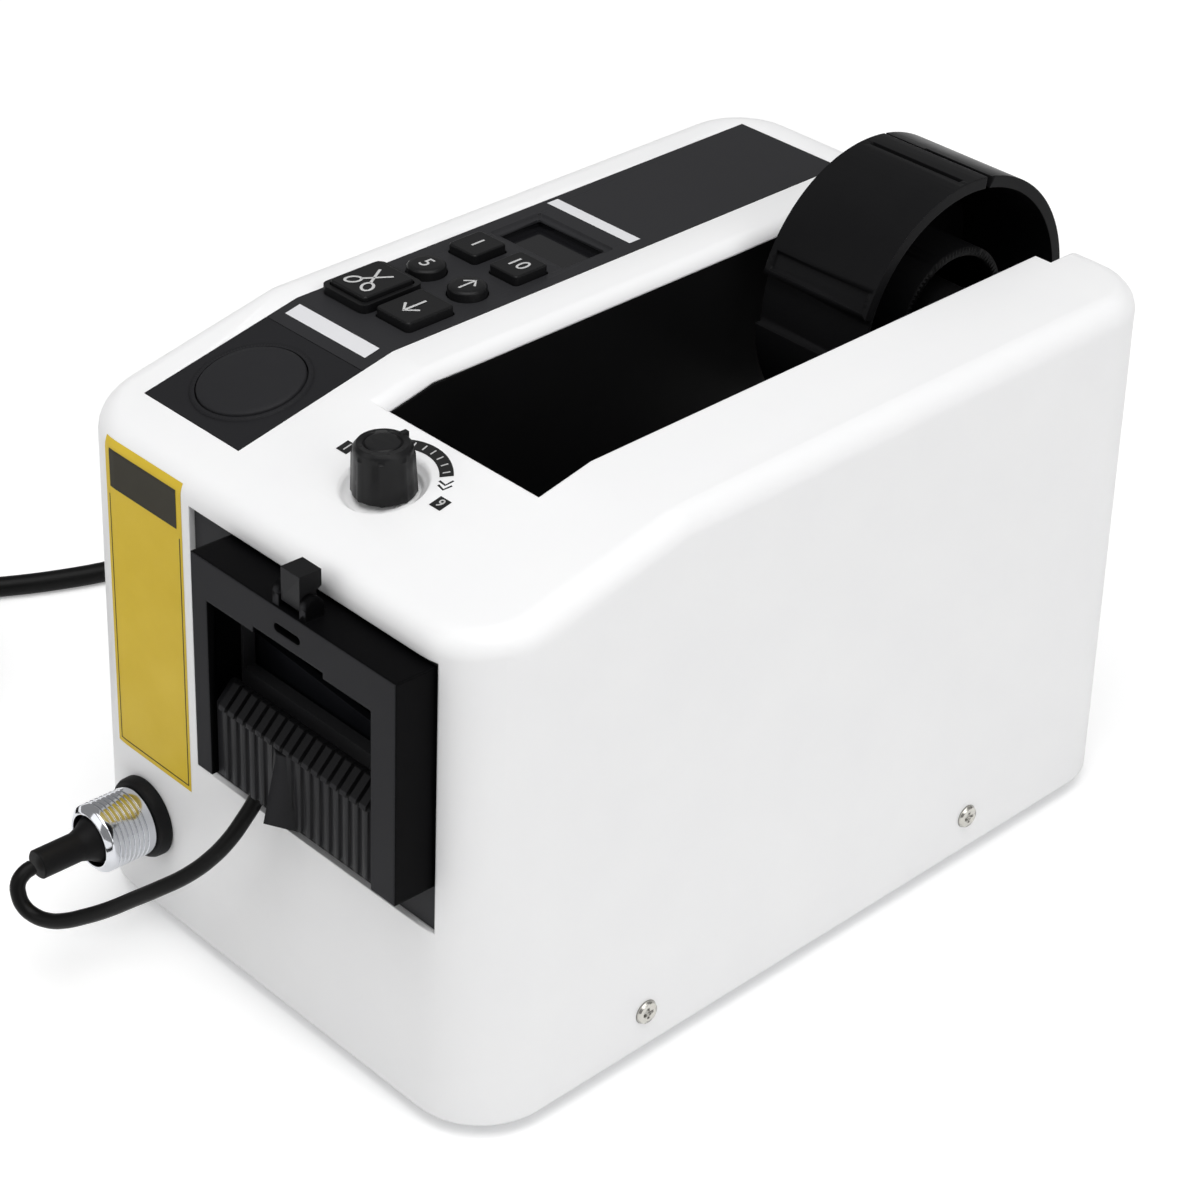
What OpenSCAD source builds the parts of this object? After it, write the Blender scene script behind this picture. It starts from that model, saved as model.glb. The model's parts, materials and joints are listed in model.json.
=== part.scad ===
// Electric tape dispenser for the desk, in millimetres.
// Every module draws from the housing's front bottom edge: X to the right, Y to the back, Z up.
// place() then moves it to the part's origin, on the floor under the middle of the machine.

/* [Housing] */
// Width of the housing at its foot
housing_w = 140; // [132:1:156]
// Depth of the housing at its foot
housing_d = 213; // [204:1:232]
// Height of the flat part of the top over the housing's lower edge
top_h = 132; // [129:0.5:137]
// How far the sloping deck falls from the flat top to the front face
deck_drop = 12; // [10:0.5:14]
// Distance from the front to where the deck turns level
slope_d = 60; // [56:0.5:62]
// Wall thickness of the moulded shell
wall = 2.8; // [2.4:0.1:3.2]
// Radius of the upright corners
corner_r = 18; // [14:0.5:20]
// Radius of the top edges
edge_r = 6; // [5:0.25:7]
// Inward draft of each side wall over the height
side_draft = 1; // [0.5:0.1:1.5]
// Backward lean of the front face in degrees
lean = 2; // [1:0.1:2.5]
// Height of the rubber feet
foot_h = 4; // [3:0.5:6]
// Thickness of the steel base plate
base_t = 1.5; // [1:0.1:2]

/* [Tape bay] */
// Clear width of the bay
bay_w = 50; // [50:0.5:52]
// Sideways place of the bay's middle
bay_x = 14.6; // [13:0.2:16]
// Front edge of the bay
bay_front = 45.5; // [45:0.5:48]
// Depth of the front shelf below the top
shelf_drop = 70; // [66:1:74]
// Largest roll of tape that the bay takes
roll_d = 150; // [140:1:152]
// Running gap round the roll
roll_gap = 4; // [3:0.5:5]
// Thickness of the bay liner
liner_t = 2; // [1.6:0.1:2.4]
// Length of the wide notch at the rear of the bay
notch_d = 12.5; // [11:0.5:14]
// How far the notch widens the bay on each side
notch_w = 4.6; // [4:0.2:6]
// Radius of the bay's rounded shoulder beside the control panel
shoulder_r = 4.6; // [3:0.2:5]

/* [Reel] */
// Outer diameter of the reel's pads
reel_d = 71.4; // [70:0.2:74]
// Width of the reel
reel_w = 32; // [28:1:34]
// Distance of the axle from the rear face
reel_back = 26.8; // [25:0.2:30]
// Depth of the axle below the top
reel_drop = 15.7; // [15:0.2:18]
// Thickness of the pads
rim_t = 2.8; // [2.4:0.1:3.2]
// Diameter of the axle
axle_d = 8; // [6:0.5:9]
// Thickness of the seats that carry the axle
seat_t = 5; // [4:0.5:5.5]

/* [Control panel] */
// Width of the black panel
panel_w = 33.8; // [33:0.2:36]
// Sideways place of the panel's middle
panel_x = -40.6; // [-41.4:0.2:-40]
// Front end of the panel
panel_front = 17.2; // [16:0.2:18]
// White strip left behind the panel
panel_rear = 11; // [10:0.5:14]
// Thickness of the panel
panel_t = 1.4; // [1.2:0.1:1.6]
// Where the front plate of the panel ends
seam_y = 51.3; // [50:0.2:53]
// Diameter of the big feed button
feed_key_d = 24.6; // [22:0.2:25.4]
// Distance of the feed button from the panel's front end
feed_key_y = 16.8; // [16:0.2:18]
// Half the distance between the two columns of keys
key_pitch_x = 7.1; // [7:0.1:7.4]
// Distance between the rows of keys
key_pitch_y = 15.4; // [15:0.1:16]
// Height of the keys over the panel
key_h = 2.3; // [1.5:0.1:3]
// Travel of a key
key_travel = 1; // [0.5:0.1:1.2]
// Gap round each key
key_gap = 0.3; // [0.2:0.05:0.4]

/* [Pressure knob] */
// Diameter of the knob at its foot
knob_d = 14.2; // [12:0.2:16]
// Height of the knob
knob_h = 11.5; // [10:0.5:13]
// Sideways place of the knob
knob_x = 10; // [6:0.5:14]
// Distance of the knob from the front
knob_y = 29.2; // [28:0.2:30]
// Depth of the dish round the knob
dish_t = 2; // [1.6:0.1:2.2]

/* [Tape outlet] */
// Width of the opening in the front face
open_w = 80; // [78:0.5:82]
// Height of the opening
open_h = 66.2; // [65:0.2:68]
// Sideways place of the opening's middle
open_x = 15.7; // [15:0.1:16.4]
// White strip left over the opening
open_drop = 5; // [4.5:0.1:6]
// Outer width of the guard
guard_w = 65.8; // [64:0.2:67]
// Strip of plate left at the right of the guard
guard_side = 0.9; // [0.5:0.1:1.5]
// Height of the guard
guard_h = 53.5; // [52:0.5:55]
// How far the guard stands out
guard_d = 9.5; // [9:0.1:10.5]
// Width of the tape opening in the guard
mouth_w = 53.3; // [52:0.1:54]
// Spacing of the apron's ribs
rib_pitch = 3.1; // [2.9:0.1:3.4]
// How far the beak stands out of the guard
beak_out = 3.5; // [2:0.1:4]

/* [Feed and cutter] */
// Width of the feed roller
roller_w = 46; // [44:0.5:47]
// Diameter of the driven rubber roller
roller_d = 18; // [17:0.1:18.4]
// Diameter of the pinch roller
pinch_d = 14; // [13:0.1:14.4]
// Depth of the tape's path below the opening's upper edge
tape_drop = 26; // [25.5:0.1:27]
// Gap between the two rollers
nip = 0.4; // [0.3:0.05:0.6]
// Thickness of the steel side frames
frame_t = 2; // [1.6:0.1:2.2]
// Teeth on the feed gear
gear_teeth = 38; // [36:2:40]
// Teeth on the motor pinion
pinion_teeth = 14; // [12:2:14]
// Module of the gears
gear_m = 0.8; // [0.76:0.01:0.82]
// Thickness of the moving blade
blade_t = 1.6; // [1.2:0.1:1.7]

/* [Connector and cords] */
// Diameter of the chrome plug
plug_d = 16.6; // [15:0.2:17]
// Length of the chrome plug
plug_l = 13; // [11:0.5:14]
// Height of the connector on the front face
plug_z = 24.4; // [23:0.2:26]
// Diameter of the sensor cable
cable_d = 3.6; // [3.4:0.1:3.8]
// Diameter of the mains cord
cord_d = 5.6; // [5.4:0.1:5.8]

/* [Hidden] */
$fn = 48;
eps = 0.01;
big = 400;

// Fits between pieces
seat_gap = 0.3;
slip_gap = 0.06;
press_gap = 0.02;

white = [0.93, 0.93, 0.93];
black = [0.08, 0.08, 0.08];
dark = [0.16, 0.16, 0.17];
steel = [0.72, 0.73, 0.75];

front_h = top_h - deck_drop;
slope_a = atan(deck_drop / slope_d);
function top_z(y) = y < slope_d ? front_h + deck_drop * y / slope_d : top_h;
// Height of the top wall's inner face
function under_z(y) = top_z(y) - wall / cos(slope_a) - seat_gap / 4;

bay_x0 = bay_x - bay_w / 2;
bay_x1 = bay_x + bay_w / 2;
shelf_z = top_h - shelf_drop;
reel_y = housing_d - reel_back;
reel_z = top_h - reel_drop;
bay_r = roll_d / 2 + roll_gap;
notch_y = housing_d - notch_d;
sill_z = reel_z - sqrt(pow(bay_r, 2) - pow(reel_back, 2));
panel_y1 = housing_d - panel_rear;

open_z1 = front_h - open_drop;
open_z0 = open_z1 - open_h;
recess = 1.2;
plate_t = 2;
guard_x = open_x + open_w / 2 - guard_side - guard_w / 2;
guard_x0 = guard_x - guard_w / 2;
guard_x1 = guard_x + guard_w / 2;
guard_z1 = open_z1 - 1.2;
guard_z0 = guard_z1 - guard_h;
guard_wall = 2.2;
mouth_x0 = guard_x0 + 5;
mouth_x1 = mouth_x0 + mouth_w;
mouth_z1 = guard_z1 - 9.8;

outlet_z = open_z1 - tape_drop;
feed_y = 24.5;
feed_z = outlet_z - roller_d / 2;
pinch_z = outlet_z + nip + pinch_d / 2;
frame_front = 14.4;
frame_back = bay_front - liner_t - seat_gap;
frame_x0 = bay_x - roller_w / 2 - 3;
frame_x1 = bay_x + roller_w / 2 + 3;
shaft_d = 6;
pin_d = 4;
floor_z = 0.5;
base_z = floor_z + base_t;

// The reel stands past the rear face and the beak past the front, so these two set the middle
beak_d = guard_d + beak_out;
beak_z = guard_z0 + 1;
front_y = beak_z * sin(lean) - beak_d * cos(lean);
back_y = reel_y + reel_d / 2;
mid_y = (front_y + back_y) / 2;

module place() { translate([0, -mid_y, foot_h]) children(); }
// Frame that leans with the front face
module lean_front() { rotate([-lean, 0, 0]) children(); }
// Frame square to the sloping deck, its Z pointing out
module on_deck(x, y) { translate([x, y, top_z(y)]) rotate([slope_a, 0, 0]) children(); }
module upright(x, y) { translate([x, y, top_z(y)]) children(); }
module along_x(x) { translate([x, 0, 0]) rotate([90, 0, 90]) children(); }
module box(lo, hi) { translate(lo) cube(hi - lo); }
module rounded(w, l, h, r) {
    linear_extrude(h) offset(r = r, $fn = 24) square([w - 2 * r, l - 2 * r], center = true);
}

// Rounded block of the housing's outer form, drawn in by inset for its cavity
module corner_ring(r, e) {
    rotate_extrude($fn = 48) translate([r - e, 0]) intersection() {
        circle(r = e, $fn = 28);
        translate([-(r - e), -e]) square([r, 2 * e]);
    }
}
module body_block(inset, drop) {
    r = corner_r - inset;
    e = max(edge_r - inset, 1);
    top_x = housing_w / 2 - side_draft - corner_r;
    ring_z = top_z(corner_r) - (inset + e) / cos(slope_a);
    ring_y = (r - e) * cos(slope_a) + (e + inset) / cos(lean) + (ring_z - (r - e) * sin(slope_a)) * tan(lean);
    hull() for (sx = [-1, 1]) {
        for (y = [corner_r, housing_d - corner_r])
            translate([sx * (housing_w / 2 - corner_r), y, -drop]) cylinder(r = r, h = eps);
        translate([sx * top_x, ring_y, ring_z + (ring_y - corner_r) * tan(slope_a)])
            rotate([slope_a, 0, 0]) corner_ring(r, e);
        translate([sx * (top_x + r - e), slope_d + (inset + e) * tan(slope_a / 2), top_h - inset - e])
            sphere(r = e, $fn = 28);
        translate([sx * top_x, housing_d - corner_r, top_h - inset - e]) corner_ring(r, e);
    }
}

// Slab of thickness t that follows the top from y0 to y1, with its upper face raised by lift
module top_slab(x0, x1, y0, y1, t, lift = 0) {
    mid = y0 < slope_d && y1 > slope_d ? [slope_d] : [];
    ys = concat([y0], mid, [y1]);
    upper = [for (y = ys) [y, top_z(y) + lift]];
    lower = [for (i = [len(ys) - 1:-1:0]) [ys[i], top_z(ys[i]) + lift - t]];
    along_x(x0) linear_extrude(x1 - x0) polygon(concat(upper, lower));
}

// Keys, by column (-1 left, 1 right) and row
key_row0 = 57.3;
function key_at(col, row) = [panel_x + col * key_pitch_x, panel_front + key_row0 + row * key_pitch_y];
cut_key_size = [12.6, 14.6];
bezel_size = [15.4, 17.8];
down_key_size = [11.4, 13.6];
unit_key_size = [9.4, 10];
round_key_d = 9.2;
window_size = [25.7, 16];
window_y = panel_front + 104.8;
board_z = front_h - 2;
board_t = 1.6;
display_t = 1.5;
panel_x0 = panel_x - panel_w / 2;
panel_x1 = panel_x + panel_w / 2;
key_hole_y0 = panel_front + key_row0 - bezel_size[1] / 2 - 1;
key_hole_y1 = window_y + window_size[1] / 2 + 1.5;
feed_key_at = panel_front + feed_key_y;

screw_z = 9.5;
screw_ys = [50, housing_d - 57];
switch_x = -42;
switch_z = 70;
cord_x = -42;
cord_z = 18;
plug_x = -44.5;

// Half width of the housing's straight sides at height z
function side_x(z) = housing_w / 2 - side_draft * z / (top_h - edge_r);
module shoulder() {
    // Quarter round along the bay's left edge, level and sloping part
    module cutter(len) {
        rotate([-90, 0, 0]) linear_extrude(len) difference() {
            translate([-shoulder_r, -1]) square([shoulder_r + 1, shoulder_r + 1]);
            translate([-shoulder_r, shoulder_r]) circle(r = shoulder_r);
        }
    }
    run = (slope_d - bay_front) / cos(slope_a);
    translate([bay_x0, slope_d, top_h]) cutter(housing_d - slope_d + 1);
    translate([bay_x0, bay_front, top_z(bay_front)]) rotate([slope_a, 0, 0]) cutter(run);
}

module housing() {
    color(white) place() difference() {
        union() {
            difference() {
                body_block(0, 0);
                body_block(wall, 1);
            }
            on_deck(knob_x, knob_y) translate([0, 0, -dish_t - 2.4]) cylinder(d = 23, h = 3.1);
            for (x = [panel_x - 21.4, panel_x + 21.6], y = [seam_y + 6.7, window_y + 14])
                box([x, y, board_z + board_t], [x + 3.5, y + 3.5, top_h - wall / 2]);
        }
        // Tape bay and its rear notch
        box([bay_x0, bay_front, sill_z], [bay_x1, housing_d - wall - 1, big]);
        box([bay_x0 - notch_w, notch_y, sill_z], [bay_x1 + notch_w, housing_d + 1, big]);
        shoulder();
        // Opening of the tape outlet
        lean_front() box([open_x - open_w / 2, -5, open_z0], [open_x + open_w / 2, 8, open_z1]);
        // Pocket of the control panel, with the way through for keys and display
        top_slab(panel_x0, panel_x1, panel_front, panel_y1, panel_t + 4, 4);
        box([panel_x0 + 1.2, key_hole_y0, top_h - 2 * wall], [panel_x1 - 1.2, key_hole_y1, big]);
        on_deck(panel_x, feed_key_at) translate([0, 0, -2 * wall]) cylinder(d = feed_key_d + 4, h = 3 * wall);
        // Dish and bore of the pressure knob
        on_deck(knob_x, knob_y) translate([0, 0, -dish_t])
            cylinder(d1 = knob_d + 2.4, d2 = knob_d + 6, h = dish_t + eps);
        upright(knob_x, knob_y) {
            translate([0, 0, -dish_t]) cylinder(d = knob_d + 1.6, h = 2 * dish_t);
            translate([0, 0, -20]) cylinder(d = pin_d + 2 * slip_gap, h = 30);
        }
        // Connector, switch, cord and screws
        lean_front() translate([plug_x, -1, plug_z]) rotate([-90, 0, 0]) cylinder(d = plug_d - 1, h = 8);
        box([switch_x - 6.6, housing_d - 6, switch_z - 9.6], [switch_x + 6.6, housing_d + 1, switch_z + 9.6]);
        translate([cord_x, housing_d - 6, cord_z]) rotate([-90, 0, 0]) cylinder(d = 9.4, h = 8);
        for (sx = [-1, 1], y = screw_ys) translate([sx * housing_w / 2, y, screw_z]) rotate([0, 90, 0])
            cylinder(d = 3.4, h = 3 * wall, center = true);
    }
}

flange_h = 16;
flange_x = side_x(flange_h + floor_z) - wall - 0.05;
module base_plate() {
    r = corner_r - wall - seat_gap;
    color(steel) place() difference() {
        union() {
            hull() for (sx = [-1, 1], y = [corner_r + 0.6, housing_d - corner_r])
                translate([sx * (housing_w / 2 - corner_r), y, floor_z]) cylinder(r = r, h = base_t);
            for (sx = [-1, 1])
                translate([sx * (flange_x - base_t / 2), housing_d / 2, floor_z + flange_h / 2])
                    cube([base_t, housing_d - 2 * corner_r - 6, flange_h], center = true);
            for (x = [-60, -21], y = [64, 142]) translate([x, y, base_z - eps]) cylinder(d = 6, h = 10);
        }
        for (sx = [-1, 1], y = screw_ys) translate([sx * flange_x, y, screw_z]) rotate([0, 90, 0])
            cylinder(d = 2.9, h = 6, center = true);
        for (p = foot_at) translate([p[0], p[1], -1]) cylinder(d = 3.2, h = 6);
    }
}

foot_x = housing_w / 2 - 20;
foot_at = [for (sx = [-1, 1], y = [24, housing_d - 24]) [sx * foot_x, y]];
foot_screw_d = 3;
foot_d = 16;
module rubber_feet() {
    color(black) place() for (p = foot_at) translate([p[0], p[1], -foot_h]) difference() {
        union() {
            cylinder(d1 = foot_d - 3, d2 = foot_d, h = foot_h * 0.6);
            translate([0, 0, foot_h * 0.6]) cylinder(d = foot_d, h = foot_h * 0.4 + floor_z);
        }
        translate([0, 0, -1]) cylinder(d = 7.4, h = 2.8);
        cylinder(d = 3.3, h = 20);
    }
}
module screw(head_d, head_h, shank_d, shank_l) {
    difference() {
        union() {
            cylinder(d1 = head_d, d2 = head_d - 0.9, h = head_h);
            translate([0, 0, -shank_l]) cylinder(d = shank_d, h = shank_l + eps);
        }
        for (a = [0, 90]) rotate(a) translate([-head_d / 4, -0.4, head_h - 0.7]) cube([head_d / 2, 0.8, 1]);
    }
}
module case_screws() {
    color(steel) place() {
        for (p = foot_at) translate([p[0], p[1], 1.8 - foot_h]) rotate([180, 0, 0])
            screw(6.4, 1.5, foot_screw_d, foot_h + base_t + 1);
        for (sx = [-1, 1], y = screw_ys) translate([sx * (side_x(screw_z) + 0.03), y, screw_z])
            rotate([0, sx * 90, 0]) screw(6, 0.9, 2.8, wall + 3);
    }
}

// Side view of the tape bay, grown by o, from the shelf round the roll to the rear
module bay_side(o, rear) {
    intersection() {
        union() {
            translate([bay_front - o, shelf_z - o]) square([reel_y - bay_front + o, big]);
            translate([reel_y, reel_z]) circle(r = bay_r + o, $fn = 96);
        }
        translate([bay_front - o, 0]) square([rear - bay_front + o, big]);
    }
}
liner_y1 = housing_d - wall - seat_gap;
module under_top(y0, y1) {
    polygon([[y0, 0], [y1, 0], [y1, under_z(y1) - edge_r], [y1 - edge_r, under_z(y1)], [slope_d, under_z(slope_d)],
        [y0, under_z(y0)]]);
}
module bay_liner() {
    wide = notch_w + liner_t;
    color(black) place() difference() {
        intersection() {
            union() {
                along_x(bay_x0 - liner_t) linear_extrude(bay_w + 2 * liner_t) bay_side(liner_t, liner_y1);
                along_x(bay_x0 - wide) linear_extrude(bay_w + 2 * wide) intersection() {
                    bay_side(liner_t, liner_y1);
                    translate([notch_y - liner_t, 0]) square([big, big]);
                }
            }
            along_x(bay_x0 - 2 * wide) linear_extrude(bay_w + 4 * wide) under_top(bay_front - liner_t, liner_y1);
        }
        along_x(bay_x0) linear_extrude(bay_w) bay_side(0, big);
        along_x(bay_x0 - notch_w) linear_extrude(bay_w + 2 * notch_w) intersection() {
            bay_side(0, big);
            translate([notch_y, 0]) square([big, big]);
        }
        // Slot in the front wall that leads the tape to the rollers
        box([bay_x - roller_w / 2, bay_front - 2 * liner_t, outlet_z - 6],
            [bay_x + roller_w / 2, bay_front + 1, outlet_z + 6]);
    }
}

// Two seats with open slots, into which the axle drops
module axle_seats() {
    color(black) place() for (side = [0, 1]) {
        x = side == 0 ? bay_x0 + eps : bay_x1 - seat_t - eps;
        along_x(x) linear_extrude(seat_t) difference() {
            union() {
                translate([reel_y, reel_z]) circle(r = axle_d / 2 + 5);
                translate([reel_y - axle_d / 2 - 5, reel_z]) square([axle_d + 10, reel_drop - wall - 4]);
            }
            translate([reel_y, reel_z]) circle(d = axle_d + 2 * slip_gap);
            translate([reel_y - axle_d / 2 - slip_gap, reel_z]) square([axle_d + 2 * slip_gap, big]);
        }
    }
}
module reel_axle() {
    color(steel) place() along_x(bay_x0 + 0.5) translate([reel_y, reel_z]) difference() {
        cylinder(d = axle_d, h = bay_w - 1);
        for (z = [-eps, bay_w - 1.8]) translate([0, 0, z]) cylinder(d = 2, h = 0.8 + eps);
    }
}

reel_x0 = bay_x - reel_w / 2;
reel_split = 80.6;
hub_bore = axle_d + 2 * slip_gap;
web_t = 2.4;
module reel_frame() { along_x(reel_x0) translate([reel_y, reel_z]) children(); }
module sector(r, a0, a1) {
    n = ceil((a1 - a0) / 30);
    polygon(concat([[0, 0]], [for (i = [0:n]) let (a = a0 + (a1 - a0) * i / n) 1.6 * r * [cos(a), sin(a)]]));
}
module arc_2d(r0, r1, a0, a1) {
    intersection() {
        difference() { circle(r = r1, $fn = 120); circle(r = r0, $fn = 120); }
        sector(r1, a0, a1);
    }
}
// Hub with its web, the ring round the boss and six stiffening ribs
module reel_hub() {
    boss_over = bay_w / 2 - reel_w / 2 - seat_t - seat_gap;
    r_in = reel_d / 2 - rim_t - press_gap;
    color(dark) place() reel_frame() difference() {
        union() {
            translate([0, 0, 1.5]) cylinder(r = r_in, h = web_t);
            translate([0, 0, -boss_over]) cylinder(d = axle_d + 7, h = reel_w + 2 * boss_over);
            difference() {
                cylinder(r = 17.5, h = reel_w - 3);
                translate([0, 0, 1.5 + web_t]) cylinder(r = 15.3, h = reel_w);
                translate([0, 0, -1]) cylinder(r = 15.3, h = 2.5);
            }
            for (i = [0:5]) rotate(reel_split + 30 + i * 60) translate([16.5, -0.9, 1.5]) cube([r_in - 17.3, 1.8, 8]);
        }
        translate([0, 0, -10]) cylinder(d = hub_bore, h = reel_w + 20);
    }
}
// Pads that grip the core: a plain rear half and a front half with a stepped window
module reel_rear_pad() {
    color(black) place() reel_frame() difference() {
        linear_extrude(reel_w) arc_2d(reel_d / 2 - rim_t, reel_d / 2, reel_split - 179.4, reel_split - 0.6);
        rotate(reel_split) translate([0, -1.1, 12]) cube([reel_d, 2, reel_w]);
    }
}
module reel_front_pad() {
    pad_end = 160.5;
    ridge = 149.5;
    color(black) place() reel_frame() difference() {
        union() {
            linear_extrude(reel_w) arc_2d(reel_d / 2 - rim_t, reel_d / 2, reel_split + 0.6, pad_end);
            linear_extrude(reel_w) arc_2d(reel_d / 2 - rim_t, reel_d / 2, 2 * reel_split + 180 - pad_end, reel_split + 179.4);
            linear_extrude(reel_w) arc_2d(reel_d / 2 - rim_t, reel_d / 2 - rim_t + 0.8, pad_end - 1, 2 * reel_split + 181 - pad_end);
        }
        // Groove behind the pad's upper lip, and the thinner tail below its ridge
        translate([0, 0, 2.4]) linear_extrude(reel_w - 4.4) arc_2d(reel_d / 2 - 0.9, reel_d, reel_split + 10.6, reel_split + 12.8);
        translate([0, 0, 1.6]) linear_extrude(reel_w - 3.2) arc_2d(reel_d / 2 - 0.8, reel_d, ridge + 1, pad_end - 2);
    }
}

module key_hole(size) { translate([0, 0, -5]) rounded(size[0] + 2 * key_gap, size[1] + 2 * key_gap, 12, 1.2); }
module control_panel() {
    down = key_at(1, 0);
    color(dark) place() difference() {
        top_slab(panel_x0 + 0.15, panel_x1 - 0.15, seam_y + 0.1, panel_y1 - 0.15, panel_t);
        translate([cut_key_at[0], cut_key_at[1], top_h]) key_hole(cut_key_size);
        translate([down[0], down[1], top_h]) key_hole(down_key_size);
        for (col = [-1, 1]) {
            round_key = key_at(col, 1);
            unit = key_at(col, 2);
            translate([round_key[0], round_key[1], top_h - 5]) cylinder(d = round_key_d + 2 * key_gap, h = 12);
            translate([unit[0], unit[1], top_h]) key_hole(unit_key_size);
        }
        translate([panel_x, window_y, top_h - 5]) rounded(window_size[0] - 3, window_size[1] - 3, 12, 0.8);
        translate([panel_x, window_y, top_h - 0.7]) rounded(window_size[0], window_size[1], 2, 1);
    }
}
module button_plate() {
    color(dark) place() difference() {
        union() {
            top_slab(panel_x0 + 0.15, panel_x1 - 0.15, panel_front + 0.15, seam_y - 0.1, panel_t);
            on_deck(panel_x, feed_key_at) translate([0, 0, -0.5]) cylinder(d = feed_key_d + 3, h = 0.9);
        }
        on_deck(panel_x, feed_key_at) translate([0, 0, -5]) cylinder(d = feed_key_d + 2 * key_gap, h = 12);
    }
}
module feed_button() {
    color(dark) place() on_deck(panel_x, feed_key_at) {
        rotate_extrude() polygon([[0, -panel_t - 1.6], [feed_key_d / 2 + 1, -panel_t - 1.6],
            [feed_key_d / 2 + 1, -panel_t - 0.4], [feed_key_d / 2, -panel_t - 0.4], [feed_key_d / 2, 0.5],
            [feed_key_d / 2 - 0.5, 0.9], [feed_key_d / 4, 1.5], [0, 1.7]]);
        translate([0, 0, -panel_t - 2.2]) cylinder(d = 3, h = 1);
    }
}
// Cap of a key with its flange under the panel and its stem over the switch
stem_z = board_z + board_t + 4.3 + key_travel;
module cap(size, h) {
    flange_z = top_h - panel_t - 1.2;
    hull() {
        rounded(size[0], size[1], h - 0.5, 1);
        rounded(size[0] - 1, size[1] - 1, h, 1);
    }
    translate([0, 0, -panel_t - 0.6]) rounded(size[0], size[1], panel_t + 0.6 + eps, 1);
    translate([0, 0, flange_z - top_h]) rounded(size[0] + 0.8, size[1] + 0.8, 1.1, 1);
    translate([0, 0, stem_z - top_h]) cylinder(d = 3, h = flange_z - stem_z + eps);
}
module round_cap(h) {
    flange_z = top_h - panel_t - 1.2;
    rotate_extrude() polygon([[0, flange_z - top_h], [round_key_d / 2 + 0.8, flange_z - top_h],
        [round_key_d / 2 + 0.8, -panel_t - 0.1], [round_key_d / 2, -panel_t - 0.1], [round_key_d / 2, h - 0.6],
        [round_key_d / 2 - 0.6, h], [0, h + 0.1]]);
    translate([0, 0, stem_z - top_h]) cylinder(d = 3, h = flange_z - stem_z + eps);
}
module key(at, shade = dark) { color(shade) place() translate([at[0], at[1], top_h]) children(); }
cut_key_at = key_at(-1, 0) - [0.7, 0];
module cut_key() { key(cut_key_at) cap(cut_key_size, key_h + 1); }
module down_key() { key(key_at(1, 0)) cap(down_key_size, key_h); }
module preset_key() { key(key_at(-1, 1)) round_cap(key_h); }
module up_key() { key(key_at(1, 1)) round_cap(key_h); }
module unit_key_a() { key(key_at(-1, 2)) cap(unit_key_size, key_h); }
module unit_key_b() { key(key_at(1, 2)) cap(unit_key_size, key_h); }
module cut_key_bezel() {
    key(cut_key_at) difference() {
        rounded(bezel_size[0], bezel_size[1], 2.2, 2);
        key_hole(cut_key_size);
    }
}
glass_z = top_h - panel_t - 0.1;
module display_window() {
    color([0.05, 0.05, 0.06, 0.6]) place() translate([panel_x, window_y, glass_z - display_t])
        rounded(window_size[0] - 1, window_size[1] - 1, display_t, 0.8);
}
module display_module() {
    color([0.25, 0.26, 0.28]) place()
        translate([panel_x, window_y, (board_z + board_t + glass_z - display_t) / 2])
            cube([window_size[0] - 3.5, window_size[1] - 3.5, glass_z - display_t - board_z - board_t], center = true);
}
module keypad_board() {
    color([0.1, 0.3, 0.16]) place() {
        box([panel_x - 22.4, panel_front + 6.8, board_z], [panel_x + 24.6, window_y + 19, board_z + board_t]);
        translate([panel_x, feed_key_at + 3.6 * sin(slope_a), board_z + board_t - eps]) {
            translate([-3, -3, 0]) cube([6, 6, 1.8]);
            cylinder(d = 3.4, h = 2.2);
        }
        for (col = [-1, 1], row = [0:2]) {
            p = key_at(col, row);
            translate([p[0], p[1], board_z + board_t - eps]) {
                translate([-3, -3, 0]) cube([6, 6, 3.5]);
                cylinder(d = 3.4, h = 4.2);
            }
        }
    }
}
module main_board() {
    color([0.1, 0.3, 0.16]) place() {
        box([-64, 60, base_z + 10], [-17, 146, base_z + 11.6]);
        for (y = [76, 92]) translate([-54, y, base_z + 11.6 - eps]) cylinder(d = 12, h = 20);
        box([-40, 70, base_z + 11.6 - eps], [-24, 86, base_z + 15]);
        box([-60, 108, base_z + 11.6 - eps], [-56, 138, base_z + 34]);
        for (y = [100, 116, 132]) box([-32, y, base_z + 11.6 - eps], [-24, y + 11, base_z + 20]);
    }
}
module transformer() {
    color([0.45, 0.42, 0.38]) place() {
        box([-60, housing_d - 64, base_z], [-22, housing_d - 32, base_z + 3]);
        box([-56, housing_d - 62, base_z + 2.9], [-26, housing_d - 34, base_z + 30]);
        box([-50, housing_d - 66, base_z + 8], [-32, housing_d - 30, base_z + 26]);
    }
}

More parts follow.
